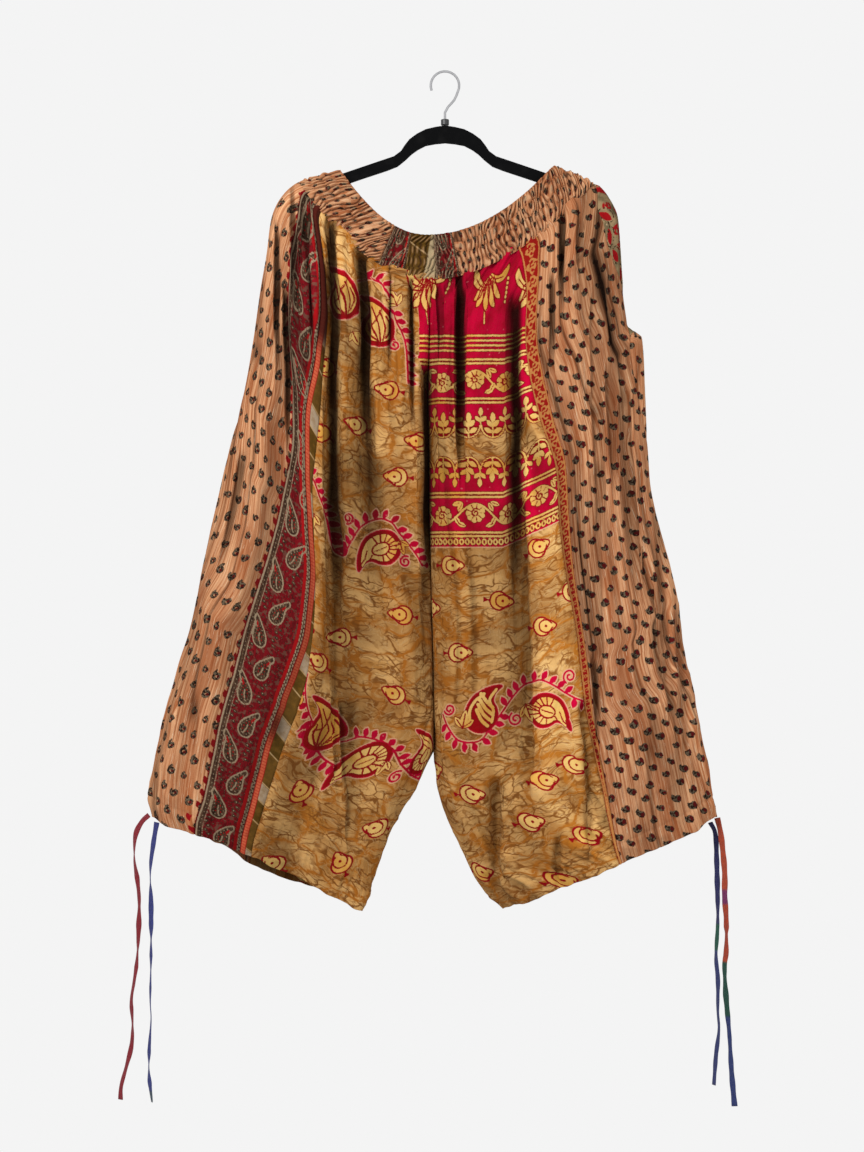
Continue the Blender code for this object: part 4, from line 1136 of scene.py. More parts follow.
def paisley_inks(u, v, width):
    """Drops in two staggered columns; a dashed grey and dark band on the left, a red one on the right."""
    inks = blank_inks(u, "dark", "grey", "red")
    right, middle = width - u, float(width.mean()) / 2 + 1
    beat = np.abs((v % 6.4) - 3.2)
    inks["dark"] = np.maximum(3.2 - np.abs(u - 6.6), 1.9 - np.abs(right - 2.8))
    inks["grey"] = np.maximum(1.3 - np.abs(u - 2.2), 0.6 - np.abs(u - 10.6))
    inks["red"] = 2.2 - np.abs(right - 8.2)
    add_ink(inks, "grey", np.minimum(0.9 - np.abs(right - 1.7), 2.2 - beat))
    add_ink(inks, "grey", np.minimum(0.8 - np.abs(right - 4.6), beat - 0.9))
    add_ink(inks, "grey", np.minimum(0.8 - np.abs(u - 6.8), 0.9 - beat))
    for k in range(-1, 22):
        side, down = 1 if k % 2 else -1, DROP_STEP * k
        stamp(inks, u, v, DROP, (middle + side * 9, 20 + down), -16 * side, 1.05, side)
        stamp(inks, u, v, COMMAS, (middle - side * 13, 30 + down), 6 * side)
    return inks


def curled_figure(lower, length, width, wide, high, start):
    """A red leaf with a curl at its foot and a dark oval round its middle."""
    return [fill("red", leaf(0, lower, 80, length, width)), stroke("red", curl(*start, 30), 1.5),
            stroke("dark", ring(0, 0, wide, high), 0.9)]


def hip_inks(u, v, width):
    """Large red curled figures on pale cloth beside the seam at the far side."""
    inks = blank_inks(u, "dark", "grey", "red")
    small, large = curled_figure(-9, 19, 9, 7, 11, (-9, 3, 6)), curled_figure(-12, 26, 11, 8, 13, (-13, 4, 8))
    bud = [stroke("dark", [(0, -9), (-2, 8)], 0.9), fill("grey", ring(3, 3, 1.6, 2.4, count=8))]
    for k in range(8):
        middle, way = 12 + HIP_STEP * k, (-1) ** k
        far = float(np.interp(middle, v[:, 0], width[:, 0])) - 9
        for near in (26, 52, 78):
            stamp(inks, u, v, small, (far - near, middle + 8), 12 * way)
        stamp(inks, u, v, large, (far, middle), 14 * way)
        stamp(inks, u, v, bud, (far + 6, middle + 15), 20)
    return inks


def ornate_inks(u, v, width):
    """A chain of gold rings and leaves between two gold lines."""
    inks = blank_inks(u, "gold", "line")
    inks["gold"] = np.maximum(inks["gold"], 1.1 - np.abs(np.minimum(u, width - u) - 1.8))
    for k in range(-1, 92):
        down, odd = 5 + CHAIN_STEP * k, k % 2
        middle = float(np.interp(down, v[:, 0], width[:, 0] / 2))
        shapes = [stroke("gold", ring(0, 0, 3.4, 3.2, 30, 300, 12), 1.15),
                  gold_leaf(3.2, -1, 62 if odd else -40, 8, 4),
                  gold_leaf(-3.0, 1, 150 if odd else 215, 7, 3.6)]
        stamp(inks, u, v, shapes, (middle, down), 0, min(1.0, max(0.45, middle / 8.5)), 1 if odd else -1)
    return inks


print("drop shapes:", len(DROP))

# %% [markdown]
# ## Cloth finishes
#
# All the cloths are light cottons, matt with a little sheen, so the colour and its unevenness carry
# the look. A finish reads the sheet's own map, in metres of cloth, for threads and dye, and the ink
# depths for the print. Deep pleats are darkened by the crease number of the sheet, because light
# that has bounced between two folds takes up the cloth's colour and leaves it nearly black.

# %% What the cloths share
DEEP_SHADE = (0.003, 0.0012, 0.0008, 1)
INK_EDGE = 0.4


class Cloth(Finish):
    """A printed cloth in the making. Its ink edges wobble by this many millimetres."""

    def __init__(self, name, wobble=0.7):
        super().__init__(name)
        self.place = self.node("UVMap", {}, uv_map="cloth")
        self.wobble = self.ramp(self.noise(420, 2), 0.25, 0.75, -wobble, wobble, "LINEAR")

    def ink(self, name, shade, grow=0.0):
        """Prints an ink over the ground, grown by some millimetres."""
        depth = self.maths("ADD", self.maths("ADD", self.attribute(name), self.wobble), grow)
        self.over(self.ramp(depth, -INK_EDGE, INK_EDGE), shade)

    def repeats(self, value, count):
        """How far the value is through each of its repeats, 0 to 1."""
        return self.maths("FRACT", self.maths("MULTIPLY", value, count))

    def contour(self, value, level, width):
        """Thin lines where a soft value passes a level, as cracks and wax runs are."""
        away = self.maths("ABSOLUTE", self.maths("SUBTRACT", value, level))
        return self.ramp(away, 0.0, width, 1.0, 0.0)

    def sew_up(self, gathered=False, roughness=0.82, weave=0.30, crest_highlight=0.55):
        """Finishes the cloth: painted shade in creases, a painted highlight on ridges (a shade below 0),
        threads, sheen.
        """
        shade = self.attribute("crease_shade")
        # Painted highlight on ridges, where the crease shade is below 0.
        self.over(self.ramp(shade, -0.40, 0.0, 0.50, 0.0), self.ground, "SCREEN")
        # Painted shade in the creases, nearly black in the deepest.
        self.over(self.maths("MULTIPLY", shade, 0.97), DEEP_SHADE)
        if gathered:
            pucker = self.attribute("pucker")
            # Painted shade in the crevices between puckers, and a painted highlight on their crests.
            self.over(self.ramp(pucker, 0.04, 0.56, 0.85, 0.0), (0.024, 0.009, 0.005, 1))
            self.over(self.ramp(pucker, 0.78, 0.98, 0.0, crest_highlight), dye(244, 192, 146))
        threads = self.maths("ADD", self.grain(1900, 260, 1), self.grain(260, 1900, 1))
        self.over(self.ramp(threads, 0.75, 1.25, 0.12, 0.0), (0.05, 0.03, 0.02, 1))
        wrinkle = self.maths("MULTIPLY", self.noise(260, 3), 2.2)
        long_wrinkle = self.maths("MULTIPLY", self.grain(240, 26, 3, 2), 5.0)
        height = self.maths("ADD", self.maths("ADD", threads, wrinkle), long_wrinkle)
        return self.finish(weave, 0.0010, height, {
            "Roughness": roughness, "Specular IOR Level": 0.0, "Sheen Weight": 0.01, "Sheen Roughness": 0.4,
        })


print("cloth helpers ready")

# %% [markdown]
# ## Dotted cotton
#
# The real side panels are thin peach voile with slubs, pale thick threads that run down the grain. A
# weave could be modelled thread by thread, but from here it only shows as streaks. So noise that is
# drawn out along the grain gives the streaks and the slubs, and the spots are laid over them as inks.

# %% Dotted cotton


def dotted_cotton(name, gathered=False):
    """Thin peach cotton with slubs and pale threads down the grain, dark spots and maroon eyes."""
    cloth = Cloth(name)
    streaks, clouds, fine = cloth.grain(420, 9, 3), cloth.grain(22, 5, 3), cloth.grain(980, 26, 2, 4)
    cloth.ground = cloth.mix(cloth.ramp(streaks, 0.30, 0.70), dye(186, 108, 64), dye(255, 192, 142))
    # Broad darker reddish bands down the grain, laid by noise: painted shade of soft folds.
    cloth.over(cloth.ramp(clouds, 0.42, 0.66, 0.0, 0.65), dye(170, 92, 52))
    cloth.over(cloth.ramp(fine, 0.38, 0.28, 0.0, 0.45), dye(128, 72, 46))
    cloth.over(cloth.ramp(fine, 0.64, 0.68, 0.0, 0.95), dye(255, 222, 184))
    cloth.ink("lace", dye(150, 16, 24))
    patch = cloth.ramp(cloth.noise(300, 2), 0.44, 0.58)
    cloth.ink("spot", cloth.mix(patch, dye(38, 22, 18), dye(116, 100, 80)))
    cloth.ink("blob", dye(96, 20, 22))
    return cloth.sew_up(gathered)


print("dotted cotton ready")

# %% [markdown]
# ## Gold batik
#
# Batik is dipped in dye under wax, and the wax cracks, so ochre and brown lines run over a beige
# ground. A picture of a real piece would repeat and blur. Cell noise gives the crackle at any size:
# nets of lines in three sizes, on a place that is bent twice by soft noise, so that the lines flow.

# %% Gold batik


def bent(cloth, place, scale, reach):
    """A place shifted by soft noise, so that what is drawn on it bends."""
    bend = cloth.node("TexNoise", {"Vector": place, "Scale": scale, "Detail": 2.0}, 1)
    shift = cloth.node("VectorMath", {0: bend, 1: (0.5, 0.5, 0.5)}, operation="SUBTRACT")
    shift = cloth.node("VectorMath", {0: shift, "Scale": reach}, operation="SCALE")
    return cloth.node("VectorMath", {0: place, 1: shift}, operation="ADD")


def net(cloth, place, scale, width, strength, shade, seen):
    """Lays lines between cells over the ground, where a soft noise allows them. Returns the cells."""
    inputs = {"Vector": place, "Scale": scale}
    cells = cloth.node("TexVoronoi", inputs, feature="DISTANCE_TO_EDGE")
    shown = cloth.ramp(cloth.noise(scale * 0.7, 2), seen - 0.08, seen + 0.08, 0.0, strength)
    line = cloth.ramp(cells, width * 0.5, width * 1.6, 1.0, 0.0)
    cloth.over(cloth.maths("MULTIPLY", line, shown), shade)
    return cells


def wax_ground(cloth, golden_share):
    """Beige cloth under wax: ochre clouds, crackle that comes and goes, and flowing lines."""
    ochre, brown = dye(190, 114, 38), dye(140, 82, 30)
    flowing = bent(cloth, bent(cloth, cloth.place, 14.0, 0.050), 70.0, 0.010)
    clouds = cloth.ramp(cloth.noise(15, 4, flowing), 0.38, 0.62)
    cloth.ground = cloth.mix(clouds, dye(246, 190, 118), dye(202, 142, 76))
    cloth.over(cloth.ramp(cloth.noise(9, 2), 0.46, 0.62, 0.0, 0.50), dye(142, 98, 56))
    patches = cloth.grain(10, 15, 3, 30, flowing)
    golden = cloth.ramp(patches, 0.60 - golden_share, 0.74 - golden_share, 0.0, 0.85)
    cloth.over(golden, dye(198, 128, 48))
    net(cloth, cloth.stretched(0.7, 1.4, 0, flowing), 88.0, 0.060, 0.60, brown, 0.48)
    net(cloth, cloth.stretched(0.6, 1.5, 0, flowing), 44.0, 0.046, 0.92, brown, 0.40)
    large = net(cloth, cloth.stretched(0.7, 1.35, 0.3, flowing), 19.0, 0.028, 0.95, ochre, 0.38)
    cloth.over(cloth.ramp(large, 0.0, 0.13, 0.45, 0.0), ochre)
    wide = cloth.grain(8, 40, 1, 6, flowing)
    for count, width, shade in ((9.0, 0.10, ochre), (17.0, 0.13, brown)):
        flow = cloth.contour(cloth.repeats(wide, count), 0.5, width)
        calm = cloth.ramp(cloth.grain(12, 30, 2, count), 0.50, 0.60, 0.0, 0.85)
        cloth.over(cloth.maths("MULTIPLY", flow, calm), shade)
    runs = cloth.contour(cloth.grain(60, 120, 1, 8, flowing), 0.56, 0.030)
    cloth.over(cloth.maths("MULTIPLY", runs, 0.4), dye(226, 186, 130))
    return patches


def batik_cotton(name, golden_share=0.0):
    """Waxed gold cloth, printed in crimson with pale speckles, in red, gold and thin dark red lines."""
    cloth = Cloth(name, 0.4)
    patches = wax_ground(cloth, golden_share)
    cloth.ink("crimson", dye(238, 178, 136), 1.5)
    speckle = cloth.node("TexVoronoi", {"Vector": cloth.place, "Scale": 95.0})
    crimson = cloth.mix(cloth.ramp(cloth.noise(40, 3), 0.35, 0.7), dye(216, 3, 58), dye(184, 3, 40))
    crimson = cloth.mix(cloth.ramp(speckle, 0.07, 0.13, 0.80, 0.0), crimson, dye(226, 110, 116))
    cloth.ink("crimson", crimson)
    cloth.ink("red", dye(164, 10, 20))
    cloth.ink("gold", dye(136, 6, 14), 0.9)
    cloth.ink("gold", cloth.mix(cloth.ramp(patches, 0.4, 0.62), dye(255, 206, 120), dye(240, 172, 74)))
    cloth.ink("line", dye(158, 8, 22))
    return cloth.sew_up(roughness=0.72, weave=0.35)


print("batik ready")

# %% [markdown]
# ## Border, strip and trim
#
# The paisley border is a dense maroon print, the ornate strip a red cloth with a gold chain, and the
# trim a woven edge of slanting blocks. Those blocks are so regular that they are worked out from the
# cloth's map alone, as a slanted distance that repeats. The others take their figures from the inks.

# %% Border, strip and trim
BLOCK_REPEAT, STITCH_REPEAT, BLOCK_SLANT = 0.107, 0.0046, -0.55


def pale_cotton(name):
    """Beige cloth with red figures drawn in dark lines, from the same sari as the border."""
    cloth = Cloth(name, 0.5)
    cloth.ground = cloth.mix(cloth.ramp(cloth.noise(60, 3), 0.4, 0.65), dye(178, 150, 110), dye(128, 112, 82))
    cloth.ink("red", dye(176, 20, 28))
    cloth.ink("grey", dye(222, 190, 150))
    cloth.ink("dark", dye(60, 40, 30))
    return cloth.sew_up()


def paisley_cotton(name, gathered=False):
    """Maroon cloth with tiny dark and pale dots and a brown mottle, under grey and dark paisleys."""
    cloth = Cloth(name, 0.5)
    grain = cloth.grain(500, 60, 3)
    cloth.ground = cloth.mix(cloth.ramp(grain, 0.35, 0.7), dye(134, 16, 28), dye(98, 18, 24))
    dots = cloth.node("TexVoronoi", {"Vector": cloth.place, "Scale": 240.0})
    cloth.over(cloth.ramp(dots, 0.26, 0.42, 0.8, 0.0), dye(62, 26, 22))
    cloth.over(cloth.ramp(dots, 0.10, 0.16, 0.5, 0.0), dye(160, 122, 98))
    cloth.over(cloth.ramp(cloth.noise(150, 3), 0.52, 0.60, 0.0, 0.75), dye(112, 76, 62))
    cloth.ink("dark", cloth.mix(cloth.ramp(grain, 0.4, 0.65), dye(58, 38, 30), dye(98, 72, 54)))
    cloth.ink("red", dye(170, 18, 24))
    cloth.ink("grey", dye(166, 144, 116))
    return cloth.sew_up(gathered, crest_highlight=0.15)


def ornate_cotton(name):
    """Red cloth with a gold chain."""
    cloth = Cloth(name, 0.6)
    cloth.ground = cloth.mix(cloth.noise(60, 2), dye(158, 14, 22), dye(182, 34, 24))
    cloth.ink("gold", dye(216, 142, 78))
    cloth.ink("line", dye(140, 24, 30))
    return cloth.sew_up()


def trim_edge(cloth, across, down):
    """A salmon edge with red stitches on the left, and dark maroon over the strip just below the waist."""
    salmon = cloth.mix(cloth.grain(300, 30, 2), dye(206, 62, 40), dye(228, 124, 86))
    cloth.over(cloth.ramp(across, 0.0072, 0.0082, 1.0, 0.0), salmon)
    stitches = cloth.ramp(cloth.repeats(down, 1 / STITCH_REPEAT), 0.62, 0.8, 0.0, 0.55)
    inside = cloth.ramp(across, 0.0066, 0.0072, 1.0, 0.0)
    cloth.over(cloth.maths("MULTIPLY", inside, stitches), dye(170, 24, 22))
    for edge in (0.0006, 0.0076):
        cloth.over(cloth.contour(across, edge, 0.0010), dye(158, 14, 20))
    cloth.over(cloth.ramp(down, 0.120, 0.165, 0.97, 0.0), dye(66, 22, 18))


def chevron_cotton(name, gathered=False):
    """Slanting blocks of olive, brown and cream, with thin pale lines between them."""
    cloth = Cloth(name)
    parts = cloth.tree.nodes.new("ShaderNodeSeparateXYZ")
    cloth.tree.links.new(cloth.place, parts.inputs[0])
    across, down = parts.outputs[0], parts.outputs[1]
    slant = cloth.maths("ADD", down, cloth.maths("MULTIPLY", across, BLOCK_SLANT))
    blocks = cloth.repeats(slant, 1 / BLOCK_REPEAT)
    cloth.ground = cloth.mix(cloth.ramp(blocks, 0.22, 0.24), dye(188, 164, 136), dye(92, 66, 22))
    cloth.over(cloth.ramp(blocks, 0.53, 0.55), dye(104, 74, 30))
    for level in (0.235, 0.54, 0.985):
        cloth.over(cloth.contour(blocks, level, 0.018), dye(206, 170, 120))
    cloth.over(cloth.ramp(cloth.noise(120, 3), 0.4, 0.75, 0.0, 0.5), dye(140, 98, 40))
    if gathered:
        cloth.over(cloth.ramp(across, 0.026, 0.028), dye(196, 172, 132))
        cloth.over(cloth.contour(across, 0.043, 0.0012), dye(70, 50, 30))
    else:
        trim_edge(cloth, across, down)
    return cloth.sew_up(gathered, crest_highlight=0.25)


CLOTHS = {
    "dotted_cotton": dotted_cotton("dotted cotton"),
    "batik_cotton": batik_cotton("gold batik"),
    "left_batik": batik_cotton("gold batik, deeper ochre", 0.05),
    "pale_cotton": pale_cotton("pale figured cloth"),
    "paisley_cotton": paisley_cotton("paisley border cloth"),
    "ornate_cotton": ornate_cotton("ornate strip cloth"),
    "trim_cotton": chevron_cotton("chevron trim cloth"),
}
GATHERED = {
    "dotted_cotton": dotted_cotton("dotted cotton, shirred", True),
    "paisley_cotton": paisley_cotton("paisley cloth, shirred", True),
    "trim_cotton": chevron_cotton("chevron cloth, shirred", True),
}
print("cloths:", [finish.name for finish in CLOTHS.values()])

# %% [markdown]
# ## The leg panels
#
# Each leg is sewn from a dotted side panel, border strips and a batik inner panel, and the back
# repeats them. Every sheet below lies between two seams. Its crinkles are seeded noise: fine
# gathers that die out below the waistband, vertical crinkles of crisp cotton, and larger soft
# crumples near the hem, where the drawstring channel stiffens the edge.

# %% Cut list of the legs
Piece = collections.namedtuple("Piece", "name spans is_front cloth spacing seed")
FINE, COARSE = 0.0016, 0.0029
BACK_SEAM, HIP_STRIP_SEAM = -0.45, -0.24
CUTS = [
    ("left_side_front", "side_seam", "border", "dotted_cotton"),
    ("left_border_front", "border", "trim", "paisley_cotton"),
    ("left_trim_front", "trim", "inner", "trim_cotton"),
    ("left_inner_front", "inner", 1.0, "batik_cotton"),
    ("right_inner_front", 1.0, "inner", "batik_cotton"),
    ("right_trim_front", "inner", "trim", "ornate_cotton"),
    ("right_side_front", "trim", "side_seam", "dotted_cotton"),
    ("left_side_back", "side_seam", BACK_SEAM, "dotted_cotton"),
    ("left_inner_back", BACK_SEAM, -1.0, "batik_cotton"),
    ("right_inner_back", -1.0, BACK_SEAM, "batik_cotton"),
    ("right_side_back", BACK_SEAM, HIP_STRIP_SEAM, "dotted_cotton"),
    ("right_border_back", HIP_STRIP_SEAM, "side_seam", "paisley_cotton"),
]
OWN_CLOTH = {"left_inner_front": "left_batik", "right_border_back": "pale_cotton"}


def edge_line(is_left, where):
    """An edge as a function of "down": a seam of the sections, or a fixed place across."""
    if isinstance(where, str):
        return lambda down: column(LEFT_SECTIONS if is_left else RIGHT_SECTIONS, where, down)
    return lambda down: np.full(down.shape, where)


def span(is_left, first, last):
    """A stretch of one leg between two edges."""
    return Span(is_left, edge_line(is_left, first), edge_line(is_left, last))


def leg_pieces(first_seed):
    """The cut pieces of both legs. The backs are seen less, so their grids are coarser."""
    for seed, (name, first, last, cloth) in enumerate(CUTS, first_seed):
        is_front = name.endswith("front")
        spacing = FINE if is_front else COARSE
        yield Piece(name, [span(name.startswith("left"), first, last)], is_front, cloth, spacing, seed)


print("leg pieces:", len(CUTS))

# %% Crinkles, drape and tucks
CHANNEL_TOP = 0.968


def crinkle(u, v, down, seed):
    """Height of the small gathers, crinkles and crumples of a panel, in metres, out of the cloth."""
    below = np.clip(down, 0, 1)
    gathers = soft_noise(u, v, 0.0052, 0.050, seed) * 0.0020 * np.exp(-below / 0.055)
    gathers += soft_noise(u, v, 0.011, 0.110, seed + 40) * 0.0030 * np.exp(-below / 0.13)
    crisp = soft_noise(u, v, 0.0046, 0.075, seed + 80) * 0.00045
    crisp += soft_noise(u, v, 0.013, 0.120, seed + 120) * 0.0011
    low = smooth_step((below - 0.45) / 0.5)
    crumple = (1 - np.abs(soft_noise(u + 0.3 * v, v, 0.040, 0.055, seed + 160)) * 2) * 0.0024
    crumple += (1 - np.abs(soft_noise(u - 0.2 * v, v, 0.022, 0.030, seed + 200)) * 2) * 0.0013
    channel = np.exp(-((below - CHANNEL_TOP) / 0.014) ** 2)
    puckers = soft_noise(u, v, 0.0060, 0.050, seed + 240) * 0.0028 * channel
    stitched = -0.0009 * np.exp(-((below - CHANNEL_TOP) / 0.0022) ** 2)
    return gathers + crisp * (0.4 + 0.6 * smooth_step(below / 0.1)) + crumple * low + puckers + stitched


def drape_and_tucks(u, v, seed):
    """Soft vertical ridges and valleys, -1 to 1, and narrow tucks that come and go, 0 to 1."""
    drape = 0.5 * soft_noise(u, v, 0.021, 0.42, seed + 300)
    drape += 0.7 * soft_noise(u, v, 0.050, 0.60, seed + 340)
    line = np.abs(soft_noise(u, v, 0.034, 0.46, seed + 380)) / 0.09
    here = smooth_step(0.5 + 1.2 * soft_noise(u, v, 0.05, 0.16, seed + 420))
    return drape, np.exp(-line * line) * here


sample_u, sample_down = np.meshgrid(np.linspace(0, 0.2, 200), np.linspace(0, 1, 200))
highest = crinkle(sample_u, sample_down * LEG_LENGTH, sample_down, seed=1).max()
print("crinkles stand up to", round(1000 * float(highest), 1), "mm")

# %% Sheet of a leg panel
ROW_SPACING = 1.1
TUCK_DOWN, TUCK_DEPTH = -0.010, 0.0022
SEAM_TURN, SEAM_DEPTH = 0.0026, 0.0016
HEM_RADIUS, HEM_WAVE = 0.0010, 0.0022
DRAPE_HEIGHT, TUCK_HEIGHT, RIDGE_HIGHLIGHT = 0.0054, 0.0036, 0.40
SLACK_AT, SLACK_REACH, SLACK_DROP, SLACK_SHADE = -0.236, 0.056, 0.0105, 0.6
Sheet = collections.namedtuple("Sheet", "made u rows length points flat_u")


def turned_edge(points, out, row, radius, rows_behind):
    """Rows that turn the top edge (row 0) or the hem (row -1) round to the inside of the sheet."""
    way = 1 if row == 0 else -1
    turned = []
    for degrees in (45, 90, 135, 180):
        angle = math.radians(degrees)
        up = np.array([0, 0, way * radius * math.sin(angle)])
        turned.append(points[row] - out[row] * radius * (1 - math.cos(angle)) + up)
    return np.array(turned + [points[k] - out[k] * 2 * radius for k in rows_behind])


def panel_sheet(piece, finish):
    """The cloth sheet of a leg panel, with its places in metres of cloth."""
    down = np.append(np.arange(TUCK_DOWN, 0.9995, ROW_SPACING * piece.spacing / LEG_LENGTH), 1.0)
    points, shade, u, length, flat_u = even_grid(piece.spans, down, piece.spacing)
    rows = np.repeat(down[:, None], u.shape[1], 1)
    v = rows * LEG_LENGTH
    out = outward(points, piece.is_front)
    middle = np.abs(points[..., 0] - inner_end(LEFT_SECTIONS, "inner_x", rows))
    held = np.where(rows < CROTCH, smooth_step(middle / 0.010), 1.0)[..., None]
    out = out * held + np.array([0, -1 if piece.is_front else 1, 0]) * (1 - held)
    edge = np.minimum(u, length - u)
    calm = (0.25 + 0.75 * smooth_step(edge / 0.008)) * smooth_step(edge / 0.0015)
    drape, tuck = drape_and_tucks(u, v, piece.seed)
    valley_shade, tuck_shade = (0.42, 0.28) if piece.cloth == "batik_cotton" else (0.54, 0.54)
    # Painted shade in the drape's valleys and along the tucks.
    shade = np.maximum(shade, valley_shade * smooth_step(-drape / 0.8) + tuck_shade * tuck)
    # Painted highlight on the drape's ridges, given as a shade below 0 where no crease shade is.
    shade = shade - RIDGE_HIGHLIGHT * smooth_step(drape / 0.7) * (1 - smooth_step(shade / 0.2))
    height = (crinkle(u, v, rows, piece.seed) + DRAPE_HEIGHT * drape - TUCK_HEIGHT * tuck) * calm
    height -= SEAM_DEPTH * np.clip(1 - edge / SEAM_TURN, 0, 1) ** 2
    height -= TUCK_DEPTH * np.clip(rows / TUCK_DOWN, 0, 1)
    points = points + out * height[..., None]
    ragged = soft_noise(u, v * 0, 0.034, 1.0, piece.seed + 7) + 0.6 * soft_noise(u, v * 0, 0.011, 1.0, 9)
    points[..., 2] += HEM_WAVE * ragged * smooth_step((rows - 0.93) / 0.07) * smooth_step(edge / 0.012)
    if piece.name in ("left_side_back", "left_inner_back"):
        slack = np.exp(-((points[..., 0] - SLACK_AT) / SLACK_REACH) ** 4) * smooth_step((rows - 0.90) / 0.10)
        points[..., 2] -= SLACK_DROP * slack
        # Painted shade on the lowered back hem, where its inside shows below the front hem.
        shade = np.maximum(shade, SLACK_SHADE * slack)
    behind = np.interp([0.992, 0.985, 0.978], down, np.arange(len(down))).astype(int)
    turned = turned_edge(points, out, -1, HEM_RADIUS, behind)
    points = np.concatenate([points, turned])
    u, v, rows, length, flat_u, shade = (np.pad(grid, ((0, len(turned)), (0, 0)), "edge")
                                         for grid in (u, v, rows, length, flat_u, shade))
    made = grid_mesh(piece.name + "_cloth", points, np.stack([u, v], axis=-1), piece.is_front, finish)
    add_attribute(made, "crease_shade", shade)
    return Sheet(made, u, rows, length, points, flat_u)


print("hem rolled at", HEM_RADIUS, "m")

# %% Inks, sizes and names of the leg panels
HIP_NOTCH = 0.24


def panel_inks(piece, sheet):
    """The inks of a panel, from its places in millimetres."""
    across, width, flat = 1000 * sheet.u, 1000 * sheet.length, 1000 * sheet.flat_u
    v, drop = sheet.rows * LEG_LENGTH * 1000, -1000 * sheet.points[..., 2]
    on_left = piece.name.startswith("left")
    if piece.cloth == "batik_cotton":
        x = 1000 * (sheet.flat_u - sheet.flat_u[:, -1:]) if on_left else flat
        if piece.is_front:
            return batik_inks(x, drop, "left" if on_left else "right")
        return batik_inks(-x, drop, "right" if on_left else "left")
    if piece.name == "right_border_back":
        return hip_inks(across, v, width) | dotted_inks(flat, drop, piece.seed)
    if piece.cloth == "paisley_cotton":
        return paisley_inks(across, v, width)
    if piece.cloth == "ornate_cotton":
        return ornate_inks(across, v, width)
    if piece.cloth == "trim_cotton":
        return {}
    lace = flat[:, -1] if piece.name in ("left_side_front", "right_side_back") else None
    if on_left:
        return dotted_inks(flat, drop, piece.seed, lace, LEFT_REPEATS, SPOT_RING)
    return dotted_inks(flat, drop, piece.seed, lace)


def dress(piece, sheet, inks):
    """Prints the sheet with its inks, hangs it from the root and hides the solid it stands for."""
    for ink, depth in inks.items():
        add_attribute(sheet.made, ink, depth)
    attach(sheet.made, "root")
    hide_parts(piece.name)


for piece in leg_pieces(first_seed=11):
    sheet = panel_sheet(piece, CLOTHS[OWN_CLOTH.get(piece.name, piece.cloth)])
    if piece.name == "right_border_back":
        sheet.made.data.materials.append(CLOTHS["dotted_cotton"])
        below = sheet.rows[:-1, :-1].ravel() > HIP_NOTCH
        sheet.made.data.polygons.foreach_set("material_index", below.astype(np.int32))
    dress(piece, sheet, panel_inks(piece, sheet))

# %% [markdown]
# ## The waistband
#
# The waistband is one strip that is shirred on rows of elastic thread, so that it shrinks to about
# half its length. Between two rows the cloth stands up in small puckers that run up and down the
# band. They are real shape here, because they break the band's edge and its light.

# %% Waistband
BAND_FINE, BAND_COARSE = 0.00075, 0.0015
BAND_HEIGHT, BAND_ROW_COUNT = 0.066, 4
PUCKER_LENGTH, PUCKER_HEIGHT, PUCKER_SINK = 0.0064, 0.0050, 0.0022
BAND_RIM = 0.0012
PATCH_SCALE, PATCH_DEPTH = 2.0, 1.6
PATCH_SEAMS = 0.585, 0.762857, 0.851429
BAND_CUTS = [
    ("waistband_front_left", [(True, 0.0, PATCH_SEAMS[0])], "dotted_cotton"),
    ("waistband_patch_left", [(True, PATCH_SEAMS[0], PATCH_SEAMS[1])], "paisley_cotton"),
    ("waistband_patch_middle", [(True, PATCH_SEAMS[1], 1.0)], "trim_cotton"),
    ("waistband_patch_right", [(False, 1.0, PATCH_SEAMS[2])], "paisley_cotton"),
    ("waistband_front_right", [(False, PATCH_SEAMS[2], 0.0)], "dotted_cotton"),
    ("waistband_back", [(True, 0.0, -1.0), (False, -1.0, 0.0)], "dotted_cotton"),
]


def band_pieces(first_seed):
    """The cut pieces of the waistband."""
    for seed, (name, spans, cloth) in enumerate(BAND_CUTS, first_seed):
        is_front = not name.endswith("back")
        spacing = BAND_FINE if is_front else BAND_COARSE
        yield Piece(name, [span(*ends) for ends in spans], is_front, cloth, spacing, seed)


def pucker_height(u, height, seed):
    """Height of the puckers, and how high each place stands from crevice (0) to crest (1), which the shirred
    cloths turn into painted shade and painted highlight. height is 0 to 1 up the band.
    """
    level = height * 0.06
    line = height * BAND_ROW_COUNT + 0.22 * soft_noise(u, level, 0.020, 0.05, seed + 9)
    row = np.floor(line)
    chance = np.random.default_rng(seed)
    shift = chance.uniform(-0.16, 0.16, BAND_ROW_COUNT + 3)
    lean = chance.uniform(-0.4, 0.4, BAND_ROW_COUNT + 3)
    index = np.clip(row + 1, 0, BAND_ROW_COUNT + 2).astype(int)
    phase = u / PUCKER_LENGTH + soft_noise(u, level, 0.012, 0.022, seed) * 1.15
    phase = phase + shift[index] + lean[index] * (line - row)
    ridge = np.abs(np.sin(np.pi * phase)) ** 0.8
    middle = np.abs(np.sin(np.pi * (line - row))) ** 0.5
    lift = ridge * (0.48 + 0.52 * middle)
    return lift * (0.75 + 0.40 * soft_noise(u, level, 0.007, 0.012, seed + 3)), lift


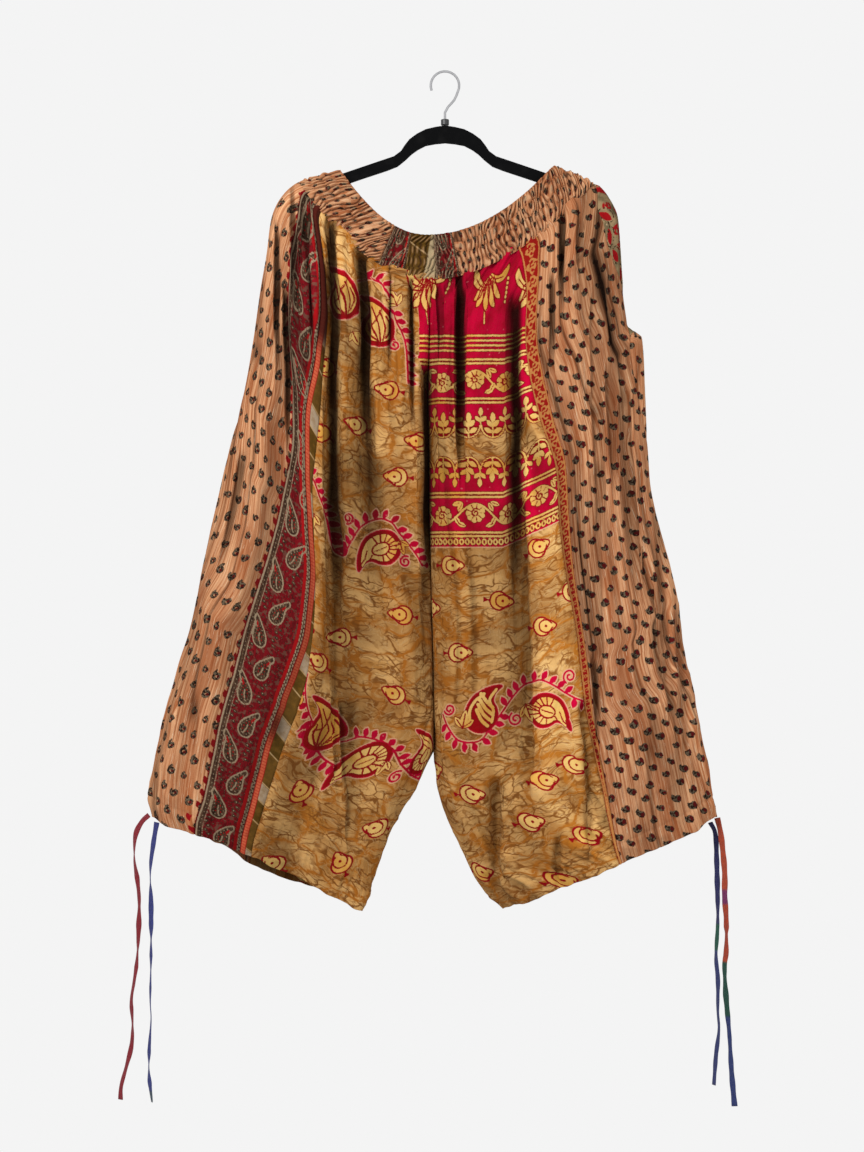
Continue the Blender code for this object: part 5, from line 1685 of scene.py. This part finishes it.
def band_sheet(piece, finish):
    """The cloth sheet of a waistband piece, with its places in metres of cloth."""
    down = np.linspace(BAND_TOP, 0.0, int(BAND_HEIGHT / piece.spacing) + 1)
    points, _, u, length, flat_u = even_grid(piece.spans, down, piece.spacing)
    rows = np.repeat(down[:, None], u.shape[1], 1)
    out = outward(points, piece.is_front)
    lift, crevice = pucker_height(u, rows / BAND_TOP, piece.seed)
    edge = np.minimum(u, length - u)
    rise = -PUCKER_SINK + PUCKER_HEIGHT * lift * smooth_step(edge / 0.002)
    points = points + out * rise[..., None]
    turned = turned_edge(points, out, 0, BAND_RIM, (3, 6))[::-1]
    points = np.concatenate([turned, points])
    u, rows, length, flat_u, crevice = (np.pad(grid, ((len(turned), 0), (0, 0)), "edge")
                                        for grid in (u, rows, length, flat_u, crevice))
    uv = np.stack([u, rows * LEG_LENGTH], axis=-1)
    made = grid_mesh(piece.name + "_cloth", points, uv, piece.is_front, finish)
    # The pucker lift, for painted shade in the crevices and a painted highlight on the crests.
    add_attribute(made, "pucker", crevice)
    return Sheet(made, u, rows, length, points, flat_u)


def band_inks(piece, sheet):
    """The inks of a waistband piece. The patches show the border's print at a smaller scale."""
    across, v = 1000 * sheet.u, sheet.rows * LEG_LENGTH * 1000 + 80
    if piece.cloth == "dotted_cotton":
        return dotted_inks(across, v, piece.seed, None, BAND_REPEATS, BAND_SPOT, 16)
    if piece.cloth == "paisley_cotton":
        inks = paisley_inks(across * PATCH_SCALE, v, 1000 * sheet.length * PATCH_SCALE)
        return {name: depth / PATCH_DEPTH for name, depth in inks.items()}
    return {}


for piece in band_pieces(first_seed=31):
    sheet = band_sheet(piece, GATHERED[piece.cloth])
    dress(piece, sheet, band_inks(piece, sheet))

# %% [markdown]
# ## The hanger's finishes
#
# The hanger keeps its own solids. Its bar is flocked: a black pile so short that it only shows as a
# soft edge of light and a fine mottle. The collar is moulded black plastic, and the hook is drawn
# steel wire with fine lines round it.

# %% Velvet, plastic and steel


def wear(node_name, finish):
    """Gives a CAD node a better material in its own slot."""
    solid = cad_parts[node_name]
    for slot in solid.material_slots:
        slot.material = finish


def on_object(name):
    """A finish laid out on the solid's own coordinates."""
    made = Finish(name)
    made.place = made.node("TexCoord", {}, 3)
    return made


def flocked_velvet():
    """Black pile with a faint mottle where it is rubbed."""
    velvet = on_object("flocked black velvet")
    pile, rubbed = velvet.noise(2600, 2), velvet.ramp(velvet.noise(45, 3), 0.45, 0.7)
    velvet.ground = velvet.mix(rubbed, (0.0016, 0.0016, 0.0018, 1), (0.0034, 0.0033, 0.0034, 1))
    velvet.over(velvet.ramp(pile, 0.55, 0.75, 0.0, 0.5), (0.009, 0.009, 0.010, 1))
    return velvet.finish(0.4, 0.0004, pile, {
        "Roughness": 0.95, "Specular IOR Level": 0.04, "Sheen Weight": 0.03, "Sheen Roughness": 0.5,
    })


def moulded_plastic():
    """Black plastic with a fine grain."""
    plastic = on_object("moulded black plastic")
    grain = plastic.noise(900, 2)
    plastic.ground = plastic.mix(grain, (0.004, 0.004, 0.0045, 1), (0.010, 0.010, 0.011, 1))
    return plastic.finish(0.15, 0.0002, grain, {"Roughness": 0.42})


def drawn_steel():
    """Bright wire with fine scratches that change its gloss."""
    steel = on_object("drawn steel wire")
    scratches = steel.grain(2400, 2400, 3)
    steel.wire(steel.shader, {
        "Base Color": steel.mix(scratches, (0.30, 0.30, 0.31, 1), (0.46, 0.46, 0.47, 1)),
        "Roughness": steel.ramp(scratches, 0.3, 0.7, 0.20, 0.38), "Metallic": 1.0,
    })
    return steel.made


wear("hanger_body", flocked_velvet())
wear("hanger_collar", moulded_plastic())
wear("hanger_hook", drawn_steel())
print("hanger finished")
